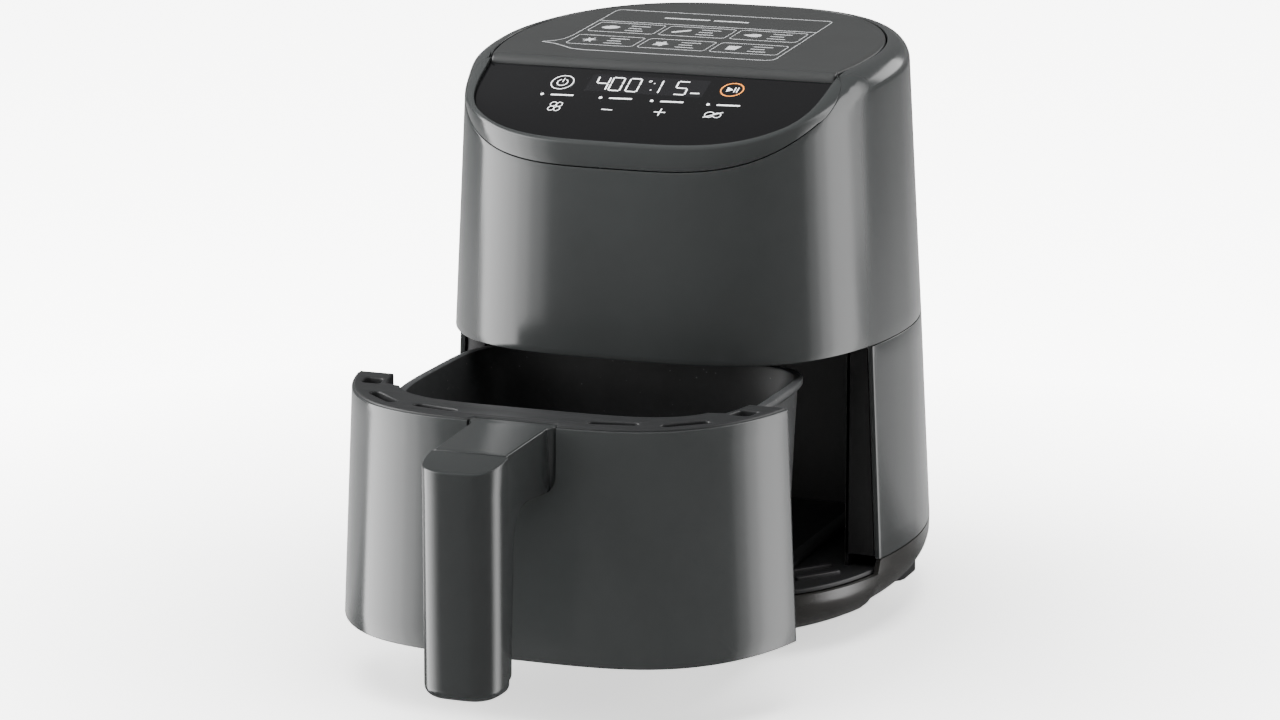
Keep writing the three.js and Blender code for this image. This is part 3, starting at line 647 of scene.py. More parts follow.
def build_base():
    outline = body_outline(BASE_LIP)
    notch = angle_at(CUT_Y, outline)
    fine = [notch + math.radians(0.12 * k) for k in range(-12, 13)]
    angles = sorted(set(full_turn(200)) | {a % (2 * math.pi) for a in fine} | {math.pi - a for a in fine})
    steps = 18

    def top(angle):
        y = oval_point(angle, outline)[1]
        return blend_value(BASE_LIP, BASE_TOP, smoothstep(CUT_Y - 0.9, CUT_Y + 1.8, y))

    def underside(angle):
        """Height of the outer underside: low across the front, raised along the sides and the rear."""
        y = oval_point(angle, outline)[1]
        return blend_value(BASE_BOTTOM, BASE_SIDE_BOTTOM, smoothstep(SKIRT_END - 10, SKIRT_END, y))

    def inset_of(angle, z):
        """The base's profile, tucked in further where the underside is raised."""
        raised = underside(angle) - BASE_BOTTOM
        return base_inset(z) + 0.9 * raised * smoothstep(BASE_LIP, BASE_BOTTOM, z)

    rows = [[body_point(angle, BASE_BOTTOM, inset) for angle in angles] for inset in (60, 42)]
    rows += [[body_point(angle, underside(angle), inset) for angle in angles] for inset in (32, 26.5)]
    for k in range(steps + 1):
        levels = [blend_value(underside(angle), top(angle), (k / steps) ** 1.25) for angle in angles]
        rows.append([body_point(angle, z, inset_of(angle, z)) for angle, z in zip(angles, levels)])
    rows.append([body_point(angle, top(angle), base_inset(top(angle)) + 2.4) for angle in angles])
    for z, inset in ((22, 7.4), (17, 14), (14.6, 25), (14.6, 36), (9.4, 46), (9.4, 60)):
        rows.append([body_point(angle, z, inset) for angle in angles])
    closed_loft("base_skin", rows, "housing", WARM, "base_plastic", ("base_pan",))
    for i in range(4):
        frame["nodes"][f"base_screw_{i}"].data.materials[0] = STEEL
        if i < 2:
            refined(f"foot_{i}", "housing", RUBBER, "foot_rubber", bevel=0.6)
            continue
        low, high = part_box(f"foot_{i}")
        x, y = (low.x + high.x) / 2 / MM, (low.y + high.y) / 2 / MM - SHIFT_Y
        pad = stadium(x, y, (high.y - low.y) / MM, (high.x - low.x) / MM, math.pi / 2)
        plate(f"foot_pad_{i}", pad, [], lambda x, y: 0.0, lambda x, y: BASE_SIDE_BOTTOM + 1.0, 0.5,
              "housing", RUBBER, "foot_rubber", (f"foot_{i}",))


# ---- top cover and control panel ------------------------------------------------------------
def opening_point(angle, extra):
    edge_y = oval_point(angle, body_outline(CREASE_Z))[1]
    return oval_point(angle, body_outline(rim_height(edge_y)), shoulder_radius(edge_y) + extra)


def opening_arc(extra, end_y, front, count=150):
    """The part of the top opening's outline in front of, or behind, a line across it."""
    low, high = -math.pi / 2, math.pi / 2
    for _ in range(36):
        middle = (low + high) / 2
        if opening_point(middle, extra)[1] < end_y:
            low = middle
        else:
            high = middle
    start, stop = (-math.pi - high, high) if front else (high, math.pi - high)
    return [opening_point(blend_value(start, stop, i / count), extra) for i in range(count + 1)]


COVER_ROLL = 3.9


def cover_top(y):
    """Height of the top cover, rolling down to the crease at its front."""
    ahead = max(CREASE_Y + COVER_ROLL - y, 0)
    return cover_height(y) - COVER_ROLL + math.sqrt(max(COVER_ROLL ** 2 - ahead ** 2, 0))


def build_top_cover():
    """Rows across the cover from the crease to the rear, denser where the front edge rolls."""
    rolled = [CREASE_Y + COVER_ROLL * (1 - math.cos(math.pi / 2 * k / 12)) for k in range(13)]
    rear = opening_point(math.pi / 2, 0.8)[1]
    flat = [blend_value(rolled[-1], rear, math.sin(math.pi / 2 * k / 50)) for k in range(1, 50)]
    ring = opening_arc(0.8, CREASE_Y + 0.02, False, 400)
    sides = sorted((y, x) for x, y in ring if x > 0)

    def half_at(y):
        for (y0, x0), (y1, x1) in zip(sides, sides[1:]):
            if y0 <= y <= y1:
                return blend_value(x0, x1, (y - y0) / (y1 - y0))
        return sides[0][1] if y < sides[0][0] else 0.2

    edge = 0.9
    rows = []
    columns = 60
    for y in rolled + flat:
        half = half_at(y)
        row = []
        for c in range(columns + 1):
            x = half * math.sin(math.pi / 2 * (2 * c / columns - 1))
            rim = max(edge - (half - abs(x)), 0)
            row.append((x, y, cover_top(y) - edge + math.sqrt(max(edge ** 2 - rim ** 2, 0))))
        rows.append(row)
    floor = CREASE_Z - 4.1
    total = len(rows) * (columns + 1)
    points = [point for row in rows for point in row]
    points += [(x, y, floor + TOP_SLOPE * (y - CREASE_Y)) for x, y, _ in points]
    faces = grid_faces(len(rows), columns + 1)
    faces += [tuple(index + total for index in reversed(face)) for face in faces]
    last = (len(rows) - 1) * (columns + 1)
    for c in range(columns):
        faces.append((c + 1, c, c + total, c + 1 + total))
        faces.append((last + c, last + c + 1, last + c + 1 + total, last + c + total))
    for r in range(len(rows) - 1):
        a, b = r * (columns + 1), (r + 1) * (columns + 1)
        faces.append((a, b, b + total, a + total))
        faces.append((b + columns, a + columns, a + columns + total, b + columns + total))
    cover = make_piece("top_cover_shell", points, faces, "housing", COVER, "cover_plastic", ("top_cover",))
    settle(cover, 40)


def build_glass():
    outline = opening_arc(0.5, CREASE_Y - GAP, True)
    plate("control_glass_plate", outline, [], lambda x, y: panel_height(y) - GLASS_THICKNESS,
          lambda x, y: panel_height(y), 0.5, "housing", GLASS, "panel_glass", ("control_glass",), steps=3)


# Flat marks: each is a list of loops in plan, laid just above a sloping surface.
def ribbon(path, width, closed=False, broad=0.0):
    """A line along a path, as quads. Its width grows by broad where it runs sideways."""
    quads = []
    count = len(path)
    last = count if closed else count - 1
    for i in range(last):
        a = Vector(path[i])
        b = Vector(path[(i + 1) % count])
        along = (b - a).normalized()
        side = Vector((-along.y, along.x)) * (width + broad * abs(along.x)) / 2
        reach = along * (width * 0.25)
        quads.append([a - side - reach, b - side + reach, b + side + reach, a + side - reach])
    return quads


def arc(x, y, radius, start, end, count=28, stretch=1.0):
    step = (end - start) / count
    return [(x + radius * math.cos(math.radians(start + step * i)),
             y + radius * stretch * math.sin(math.radians(start + step * i))) for i in range(count + 1)]


def rounded_box(x0, y0, x1, y1, radius, lean=0.0):
    """Outline of a rounded rectangle whose upper edge is shifted sideways by lean."""
    corners = [(x1 - radius, y1 - radius, 0), (x0 + radius, y1 - radius, 90),
               (x0 + radius, y0 + radius, 180), (x1 - radius, y0 + radius, 270)]
    loop = []
    for x, y, start in corners:
        loop += arc(x, y, radius, start, start + 90, 6)
    return [(x + lean * (y - y0) / (y1 - y0), y) for x, y in loop]


def mark_piece(name, polygons, height, lift, body, material, slot):
    points = []
    faces = []
    for polygon in polygons:
        corners = [tuple(corner) for corner in polygon]
        if not is_anticlockwise(corners):
            corners.reverse()
        start = len(points)
        count = len(corners)
        points += [(x, y, height(y) + lift) for x, y in corners]
        points += [(x, y, height(y) - 0.05) for x, y in corners]
        faces.append(tuple(range(start, start + count)))
        faces.append(tuple(reversed(range(start + count, start + 2 * count))))
        for i in range(count):
            j = (i + 1) % count
            faces.append((start + count + i, start + count + j, start + j, start + i))
    return make_piece(name, points, faces, body, material, slot)


SEGMENTS_OF = {"0": "abcdef", "1": "bc", "4": "bcfg", "5": "acdfg"}


def digit(character, x, y, width, height, lean, thick):
    """Seven-segment digit with its lower left corner at x, y."""
    half = height / 2
    ends = {"a": (0, height, width, height), "d": (0, 0, width, 0), "g": (0, half, width, half),
            "f": (0, half, 0, height), "b": (width, half, width, height),
            "e": (0, 0, 0, half), "c": (width, 0, width, half)}
    quads = []
    trim = thick * 0.75
    for segment in SEGMENTS_OF[character]:
        u0, v0, u1, v1 = ends[segment]
        run = Vector((u1 - u0, v1 - v0)).normalized() * trim
        start = Vector((u0, v0)) + run
        end = Vector((u1, v1)) - run
        path = [(x + p.x + lean * p.y, y + p.y) for p in (start, end)]
        quads += ribbon(path, thick)
    return quads


def fan_symbol(x, y):
    marks = []
    for turn in (45, 135, 225, 315):
        a = math.radians(turn)
        marks += ribbon(arc(x + 1.9 * math.cos(a), y + 2.3 * math.sin(a), 1.35, 0, 360, 14, 1.2), 0.34, True)
    return marks


def build_panel_marks():
    row_keys = -56.3
    row_modes = -66.0
    row_touch = -74.6
    marks = []
    power = (-40.4, row_keys)
    marks += ribbon(arc(*power, 4.9, 0, 360, 40, 1.05), 0.42, True)
    marks += ribbon(arc(*power, 2.3, 120, 420, 24, 1.05), 0.42)
    marks += ribbon([(power[0], power[1] + 0.3), (power[0], power[1] + 3.0)], 0.42)
    play = (36.6, row_keys + 2.3)
    marks.append([(play[0] - 2.3, play[1] - 1.7), (play[0] + 0.5, play[1]), (play[0] - 2.3, play[1] + 1.7)])
    for x in (1.2, 2.5):
        marks += ribbon([(play[0] + x, play[1] - 1.7), (play[0] + x, play[1] + 1.7)], 0.5)
    for x in (-46.0, -19.0, 4.4, 30.0):
        marks.append(arc(x, row_modes, 0.75, 0, 330, 11, 1.1))
        marks += ribbon([(x + 4.2, row_modes), (x + 14.0, row_modes + 0.4)], 0.9)
    marks += fan_symbol(-36.6, row_touch)
    marks += ribbon([(-15.2, row_touch), (-10.6, row_touch)], 0.5)
    marks += ribbon([(8.6, row_touch + 0.6), (13.4, row_touch + 0.6)], 0.5)
    marks += ribbon([(11.0, row_touch - 1.9), (11.0, row_touch + 3.1)], 0.5)
    shake = (34.8, row_touch + 1.2)
    marks += ribbon(arc(shake[0] - 1.6, shake[1], 2.0, 20, 340, 18), 0.35)
    marks += ribbon(arc(shake[0] + 1.9, shake[1] - 0.2, 1.7, -150, 150, 16), 0.35)
    marks += ribbon([(shake[0] - 3.6, shake[1] - 2.2), (shake[0] + 3.8, shake[1] + 2.2)], 0.4)
    mark_piece("panel_marks", marks, panel_height, 0.04, "housing", WHITE_INK, "panel_glass")
    ring = ribbon(arc(*play, 4.9, 0, 360, 40, 1.0), 0.55, True)
    mark_piece("start_ring", ring, panel_height, 0.04, "housing", ORANGE_INK, "panel_glass")

    window = rounded_box(-28.6, -61.4, 25.2, -48.4, 1.2)
    mark_piece("display_window", [window], panel_height, 0.03, "housing", WINDOW, "panel_glass")
    digits = []
    for character, x in (("4", -24.6), ("0", -18.0), ("0", -10.2), ("1", -0.4), ("5", 11.8)):
        digits += digit(character, x, -60.1, 5.2, 9.8, -0.06, 0.66)
    digits += ribbon(arc(-1.4, -51.6, 0.6, 0, 360, 10), 0.25, True)
    for y in (-53.0, -58.0):
        digits.append(arc(0.9, y, 0.35, 0, 330, 9))
    digits += ribbon([(19.4, -58.6), (23.0, -58.4)], 0.7)
    mark_piece("display_digits", digits, panel_height, 0.07, "housing", WHITE_INK, "panel_glass")


def food_symbols():
    """Six simple food shapes, each as a filled outline round its own middle."""
    steak = [(3.2 * math.cos(a) * (1 + 0.18 * math.sin(2 * a)), 1.9 * math.sin(a)) for a in full_turn(18)]
    stick = stadium(0, 0, 7.2, 1.7, 0.5)
    leg = [(3.4 * math.cos(a), 1.6 * math.sin(a) * (1 + 0.5 * math.cos(a))) for a in full_turn(16)]
    flake = []
    for i, a in enumerate(full_turn(12)):
        reach = 3.0 if i % 2 == 0 else 1.14
        flake.append((reach * math.cos(a), reach * math.sin(a)))
    sprig = []
    for a in full_turn(25):
        lobe = 1 + 0.25 * math.cos(5 * a)
        sprig.append((2.4 * lobe * math.cos(a), 2.2 * lobe * math.sin(a)))
    carton = [(-1.9, -2.2), (1.9, -2.2), (2.5, 2.2), (-2.5, 2.2)]
    return [steak, stick, leg, flake, sprig, carton]


def build_cover_marks():
    """A settings card drawn in thin lines: a page with a curled corner, a title and six cells."""
    line = 0.30
    broad = 0.30
    left, right = -57.5, 45.5
    front, rear = -27.0, 56.0
    header = 32.0
    lines = []
    page = [(left, rear - 3)] + arc(left + 3, rear - 3, 3, 180, 90, 5) + arc(right - 3, rear - 3, 3, 90, 0, 5)
    page += arc(right - 5, front + 5, 5, 0, -90, 6) + [(left + 16, front), (left + 9, front + 1.2)]
    page += [(left + 4, front + 5.0), (left - 2, front + 9.0), (left - 8.5, front + 11.0)]
    page += [(left - 4.0, front + 14.0), (left - 1.0, front + 19.0), (left, front + 27.0)]
    lines += ribbon(page, line, True, broad)
    lines += ribbon([(left, header), (right, header)], line, False, broad)
    title = (rear + header) / 2
    for start, end in ((-30.0, -9.5), (-6.5, 9.0)):
        lines += ribbon([(start, title), (end, title)], 1.9)
    symbols = food_symbols()
    fills = []
    gap = 2.4
    cell_width = (right - left - 4 * gap) / 3
    cell_depth = 18.4
    for row in range(2):
        for column in range(3):
            x0 = left + gap + column * (cell_width + gap)
            y1 = header - 3.4 - row * (cell_depth + 8.0)
            lines += ribbon(rounded_box(x0, y1 - cell_depth, x0 + cell_width, y1, 2.0), line, True, broad)
            middle = y1 - cell_depth / 2
            fills.append([(x0 + 8.0 + 1.2 * u, middle + 1.7 * v) for u, v in symbols[row * 3 + column]])
            for k, length in enumerate((8.5, 6.0, 8.0)):
                y = middle + 4.6 - 4.6 * k
                lines += ribbon([(x0 + 16.5, y), (x0 + 16.5 + length, y)], 0.9)
    mark_piece("cover_marks", lines + fills, cover_height, 0.03, "housing", GREY_INK, "cover_plastic")


# ---- drawer bay ---------------------------------------------------------------------------------
def bay_outline(grow=0.0, count=10):
    """Plan of the bay's walls from its left front end round the rear to its right front end."""
    half, rear, corner = CAVITY["half"], CAVITY["rear"], CAVITY["corner"]
    radius = corner + grow
    right = arc(half - corner, rear - corner, radius, 0, 90, count)
    left = arc(-half + corner, rear - corner, radius, 90, 180, count)
    return [(half + grow, CUT_Y + 2)] + right + left + [(-half - grow, CUT_Y + 2)]


def build_bay():
    floor = CAVITY["floor"]
    loop = bay_outline()[::-1]
    rows = [[(x, y, z) for x, y in loop] for z in (floor + 1.0, 60, 95, HOUSING_BOTTOM - 0.8)]
    walls = skin("bay_walls", rows, "housing", BLACK, "black_plastic", ("cavity_liner",),
                 thickness=1.7, bevel=0.2)
    low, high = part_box("switch_plunger")
    left, right = low.x / MM - PLUNGER_PLAY, high.x / MM + PLUNGER_PLAY
    bottom, top = low.z / MM - PLUNGER_PLAY, high.z / MM + PLUNGER_PLAY
    hole = [(left, bottom), (right, bottom), (right, top), (left, top)]
    cut_with(walls, *prism(hole, CAVITY["rear"] + 6, CAVITY["rear"] - 4))

    outline = body_outline(floor)
    inset = 3.1
    end = angle_at(-33, outline, inset)
    front = [oval_point(blend_value(-math.pi - end, end, i / 120), outline, inset) for i in range(121)]
    rear = bay_outline(-0.4)
    plate("bay_floor", front + rear[1:-1], [], lambda x, y: floor, lambda x, y: floor + 1.8, 0.5,
          "housing", BLACK, "black_plastic")

    for side, name in ((-1, "bay_flange_left"), (1, "bay_flange_right")):
        points = []
        heights = [BASE_TOP + 1, 60, 95, HOUSING_BOTTOM - 0.8]
        for z in heights:
            outline = body_outline(z)
            reach = oval_point(angle_at(CUT_Y + 3, outline, 3.4), outline, 3.4)[0]
            for x, y in ((83.9, CUT_Y + 2), (reach, CUT_Y + 2), (reach, CUT_Y + 4), (83.9, CUT_Y + 4)):
                points.append((side * x, y, z))
        faces = grid_faces(4, 4, wrap=True) + [(3, 2, 1, 0), (12, 13, 14, 15)]
        faces = faces if side > 0 else [face[::-1] for face in faces]
        flange = make_piece(name, points, faces, "housing", BLACK, "black_plastic")
        add_bevel(flange, 0.3, segments=2)
        settle(flange)
    for side in ("left", "right"):
        refined(f"runner_{side}", "housing", BLACK, "black_plastic", bevel=0.7)
    for k, (x, y) in enumerate(((71, -52), (79, -60))):
        for side in (-1, 1):
            loop = stadium(side * x, y, 27 - 4 * k, 2.2, side * math.radians(52))
            plate(f"floor_rib_{k}_{'left' if side < 0 else 'right'}", loop, [], lambda x, y: floor + 1.7,
                  lambda x, y: floor + 3.4, 0.7, "housing", BLACK, "black_plastic")


def build_chamber_plate():
    outline = body_outline(HOUSING_BOTTOM)
    outer = [oval_point(angle, outline, 3.2) for angle in full_turn(160)]
    hole = circle(0, FAN_AXIS_Y, 70, 96)
    plate("chamber_plate_fine", outer, [hole], lambda x, y: 131.0, lambda x, y: 132.6, 0.3,
          "housing", BLACK, "black_plastic", ("chamber_plate",))


# ---- drawer --------------------------------------------------------------------------------------
def build_drawer_front():
    rows = band_rows(DRAWER_BOTTOM, DRAWER_TOP - 0.9, CUT_Y - GAP, True, 12)
    panel = skin("drawer_front_skin", rows, "drawer", CHARCOAL, "charcoal_plastic", ("drawer_front",),
                 thickness=2.7, bevel=0.5)
    half = ARM["half"] + 0.5
    low = ARM["bottom"] - 0.5
    corner = 9
    loop = arc(-half + corner, low + corner, corner, 180, 270, 8)
    loop += arc(half - corner, low + corner, corner, 270, 360, 8)
    loop += [(half, 140), (-half, 140)]
    cut_with(panel, *prism(loop, -85, -125))


def build_rim_cap():
    """Deck over the drawer's walls, with slots. Its ends are cut back round the basket."""
    high = DRAWER_TOP - 0.1
    outline = body_outline(DRAWER_TOP)
    end_y = CUT_Y - 1
    lip_end = -58
    inset = 0.9
    end = angle_at(end_y, outline, inset)
    outer = [oval_point(blend_value(-math.pi - end, end, i / 150), outline, inset) for i in range(151)]
    notch_half = ARM["half"] + 0.5
    outer = [(x, max(y, -99.0)) if abs(x) < notch_half else (x, y) for x, y in outer]
    cut_end = angle_at(end_y, BASKET, -2.5)
    lip = angle_at(lip_end - 2, BASKET, 2)
    cut_start = angle_at(lip_end, BASKET, -2.5)
    back = [oval_point(blend_value(cut_end, cut_start, i / 8), BASKET, -2.5) for i in range(9)]
    front = [oval_point(blend_value(lip, -math.pi - lip, i / 120), BASKET, 2) for i in range(121)]
    inner = back + front + [(-x, y) for x, y in reversed(back)]
    slots = []
    for side in (-1, 1):
        end_hole = rounded_box(78.4, -60.3, 86.6, -50.7, 1.8)
        slots.append([(side * (x + 0.22 * (y + 55.5)), y) for x, y in end_hole])
        for x, y, length, width, turn in ((66.3, -81, 21, 4.8, 0.72), (39, -90.5, 21, 4.6, 0.20)):
            slots.append(stadium(side * x, y, length, width, side * turn))
    plate("rim_cap_deck", outer + inner, slots, lambda x, y: high - 4.7, lambda x, y: high, 0.8,
          "drawer", DECK, "black_plastic", ("rim_cap",), steps=4)
    ribs = []
    for side in (-1, 1):
        ribs.append([(side * 79.5, -58.5), (side * 84.5, -60.0), (side * 84.9, -59.0), (side * 79.9, -57.5)])
    mark_piece("rim_cap_ribs", ribs, lambda y: high - 2.2, 0.0, "drawer", DECK, "black_plastic")


def build_basket():
    top = BASKET_TOP
    bottom = BASKET_BOTTOM
    profile = [(bottom, 40), (bottom, 26)]
    profile += [(bottom + 10 * (1 - math.cos(a)), 5.2 + 10 * (1 - math.sin(a)))
                for a in (math.pi / 2 * k / 9 for k in range(10))]
    profile += [(60, 4.6), (80, 3.8), (100, 3.0), (top - 5.1, 2.1), (top - 4.3, 1.6), (top - 3.7, 0.7)]
    profile += [(top - 2.9, 0.15), (top - 0.9, 0.05), (top - 0.3, 0.25), (top, 0.9)]
    profile += [(top, 2.9), (top - 0.3, 3.5), (top - 1.1, 3.8)]
    profile += [(100, 4.8), (80, 5.6), (60, 6.4)]
    profile += [(bottom + 1.7 + 9 * (1 - math.sin(a)), 7.0 + 9 * (1 - math.cos(a)))
                for a in (math.pi / 2 * k / 9 for k in range(10))]
    profile += [(bottom + 1.7, 26), (bottom + 1.7, 40)]
    angles = full_turn(180)
    rows = [[(*oval_point(angle, BASKET, inset), z) for angle in angles] for z, inset in profile]
    closed_loft("basket_pan", rows, "drawer", NONSTICK, "nonstick", ("basket",))


def build_handle_arm():
    """The arm and the grip's back half are one moulding, swept from the panel to the grip's foot."""
    corner = Vector((GRIP["seam"] + 0.3, 125.2))
    outer = [Vector((-101, ARM["top"])), Vector((-146.4, 125.3)), corner + Vector((0, -0.8)),
             Vector((corner.x, 31.0)), Vector((corner.x + 0.8, 29.8))]
    inner = [Vector((-101, ARM["bottom"])), Vector((-122, ARM["bottom"] + 1.2))]
    turn_start, turn_pull, turn_end = inner[-1], Vector((-136.8, 100.6)), Vector((-138.4, 84))
    bend = []
    for k in range(1, 9):
        t = k / 8
        bend.append((1 - t) ** 2 * turn_start + 2 * t * (1 - t) * turn_pull + t * t * turn_end)
    inner += bend + [Vector((-140.6, 34)), Vector((-142.4, 30.4))]
    matched = [(0.0, 0.0), (0.27, 0.155), (0.325, 0.215), (0.33, 0.24), (0.42, 0.34), (1.0, 1.0)]

    def along(path, share):
        lengths = [(b - a).length for a, b in zip(path, path[1:])]
        target = share * sum(lengths)
        for a, b, length in zip(path, path[1:], lengths):
            if target <= length or b is path[-1]:
                return a.lerp(b, min(target / length, 1.0))
            target -= length
        return path[-1]

    def inner_share(share):
        for (a0, b0), (a1, b1) in zip(matched, matched[1:]):
            if share <= a1:
                return blend_value(b0, b1, (share - a0) / (a1 - a0))
        return 1.0

    def half_width(y, share):
        if share > 0.97:
            return blend_value(15.9, 13.2, (share - 0.97) / 0.03)
        straight = blend_value(15.6, 16.4, (y + 147) / 43)
        flare = max(0.0, 1 - (-103.6 - y) / 3.0) if y < -103.6 else 1.0
        return straight + (ARM["half"] - straight) * flare ** 2

    rows = []
    stations = 90
    for k in range(stations + 1):
        share = k / stations
        a = along(outer, share)
        b = along(inner, inner_share(share))
        half = half_width(a.x, share)
        depth = (b - a).length
        across = (b - a).normalized()
        near = min(0.9, depth / 4)
        far = min(3.2, depth / 2.4)
        section = []
        corners = ((half - near, near, 90, near), (half - far, far, 0, depth - far),
                   (-half + far, far, -90, depth - far), (-half + near, near, 180, near))
        for centre_x, radius, start, distance in corners:
            for i in range(6):
                angle = math.radians(start - 90 * i / 5)
                x = centre_x + radius * math.cos(angle)
                t = distance - radius * math.sin(angle)
                point = a + across * t
                section.append((x, point.x, point.y))
        rows.append(section)
    closed_loft("handle_arm_sweep", rows, "drawer", HANDLE, "charcoal_plastic", ("handle_arm",))


def build_grip():
    seam, half = GRIP["seam"], GRIP["half"]
    depth = seam - GRIP["front"]

    def section(inset):
        reach = half - inset
        loop = [(reach, seam), (reach, seam - depth * 0.12)]
        for k in range(1, 32):
            a = math.pi * k / 32
            x = reach * math.copysign(abs(math.cos(a)) ** (2 / 3.6), math.cos(a))
            y = seam - (depth - inset) * (0.12 + 0.88 * math.sin(a) ** (2 / 2.5))
            loop.append((x, y))
        loop += [(-reach, seam - depth * 0.12), (-reach, seam)]
        loop += [(-reach * 0.4, seam), (reach * 0.4, seam)]
        return loop[::-1]

    def moon_height(y):
        return 126.0 - 0.2 * (GRIP["seam"] + 5 - y)

    rows = []
    foot = 5.0
    for k in range(8):
        phi = math.pi / 2 * k / 7
        inset = foot * (1 - math.sin(phi))
        z = GRIP["bottom"] + foot * (1 - math.cos(phi))
        rows.append([(x, y, z) for x, y in section(inset)])
    for z in (60, 90, 112):
        rows.append([(x, y, z) for x, y in section(0)])
    lip = 0.8
    for k in range(4):
        phi = math.pi / 2 * k / 3
        drop = lip * (1 - math.sin(phi))
        rows.append([(x, y, moon_height(y) - drop) for x, y in section(lip * (1 - math.cos(phi)))])
    closed_loft("grip_front_shell", [row[::-1] for row in rows], "drawer", HANDLE, "charcoal_plastic",
                ("grip_front",))


def build_crisper_plate():
    inset = 9.4
    outline = [oval_point(angle, BASKET, inset) for angle in full_turn(120)]
    holes = []
    pitch = 11.0
    for row in range(-7, 8):
        for column in range(-7, 8):
            x = (column + (0.5 if row % 2 else 0)) * pitch
            y = FAN_AXIS_Y + row * pitch * math.sqrt(3) / 2
            reach = oval_point(math.atan2(y, x), BASKET, 19)
            if math.hypot(x, y) < math.hypot(*reach):
                holes.append(circle(x, y, 2.7, 14))
    plate("crisper_plate_perforated", outline, holes, lambda x, y: PLATE_HEIGHT,
          lambda x, y: PLATE_HEIGHT + 1.6, 0.35, "plate", NONSTICK, "nonstick", ("crisper_plate",), steps=2)
    for i in range(4):
        refined(f"plate_bumper_{i}", "plate", SILICONE, "silicone", bevel=0.4)


# ---- hidden and small pieces ----------------------------------------------------------------
def tube(name, points, radius, body, material, slot, replaced=()):
    curve = bpy.data.curves.new(name, "CURVE")
    curve.dimensions = "3D"
    curve.bevel_depth = radius * MM
    curve.bevel_resolution = 5
    curve.use_fill_caps = True
    curve.resolution_u = 6
    spline = curve.splines.new("NURBS")
    spline.points.add(len(points) - 1)
    for target, (x, y, z) in zip(spline.points, points):
        target.co = (x * MM, (y + SHIFT_Y) * MM, z * MM, 1)
    spline.use_endpoint_u = True
    spline.order_u = 4
    curve.materials.append(material)
    piece = bpy.data.objects.new(name, curve)
    bpy.context.scene.collection.objects.link(piece)
    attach(piece, body)
    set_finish(piece, slot)
    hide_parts(*replaced)
    return piece


def build_element():
    outer, inner, height = 60, 45, 146
    riser = math.radians(80)
    lead = math.radians(12)
    sweep = math.radians(305)

    def polar(radius, angle, z):
        return radius * math.cos(angle), radius * math.sin(angle) + FAN_AXIS_Y, z

    turns = 24
    points = [polar(outer, riser, 180), polar(outer, riser, 172), polar(outer, riser, 164)]
    points += [polar(outer, riser - lead - sweep * i / turns, height) for i in range(turns + 1)]
    points += [polar((outer + inner) / 2, riser - lead - sweep - 0.13, height)]
    points += [polar(inner, riser - lead - sweep * i / turns, height) for i in range(turns, -1, -1)]
    points += [polar(inner, riser, 164), polar(inner, riser, 172), polar(inner, riser, 180)]
    tube("heating_element_tube", points, 2.9, "housing", SHEATH, "element_sheath", ("heating_element",))


def finish_cad_nodes():
    """Better materials for the CAD nodes that stay as they are."""
    chosen = {
        BLACK: ("panel_frame", "display_module", "exhaust_duct", "thermal_cutout", "microswitch",
                "cooling_fan", "rear_vent_grille"),
        STEEL: ("element_guard", "heat_shield", "motor_bracket", "motor_stator", "motor_rotor", "fan_shaft",
                "temperature_sensor", "handle_bracket", "handle_screw_0", "handle_screw_1"),
        SHEET: ("hot_fan", "air_chamber"),
        COPPER: ("motor_coil",),
        BOARD: ("panel_board", "power_board"),
        RUBBER: ("cord_gland",),
        SILICONE: ("switch_plunger",),
    }
    for material, names in chosen.items():
        for name in names:
            frame["nodes"][name].data.materials[0] = material


# ---- stage ----------------------------------------------------------------------------------------
def above_line(tree, along, across, slope, offset):
    """1 where along is past the line slope * across + offset, 0 well before it."""
    soft = add_node(tree, "ShaderNodeMapRange")
    soft.inputs["From Min"].default_value = -0.04
    soft.inputs["From Max"].default_value = 0.04
    line = maths(tree, "MULTIPLY_ADD", across, slope, offset)
    tree.links.new(maths(tree, "SUBTRACT", along, line), soft.inputs["Value"])
    return soft.outputs["Result"]


def see_through(tree, place, mirrored):
    """1 where a reflection looks through the floor: everywhere in front of two lines on it."""
    parts = add_node(tree, "ShaderNodeSeparateXYZ")
    tree.links.new(place, parts.inputs["Vector"])
    x, y = parts.outputs["X"], parts.outputs["Y"]
    left = above_line(tree, y, x, 0.0, -0.06)
    right = above_line(tree, y, x, 0.6, 0.12)
    left_half = maths(tree, "SUBTRACT", 1.0, above_line(tree, x, y, 0.0, -0.09))
    behind = maths(tree, "MULTIPLY", left, maths(tree, "MAXIMUM", right, left_half))
    return maths(tree, "MULTIPLY", mirrored, maths(tree, "SUBTRACT", 1.0, behind))


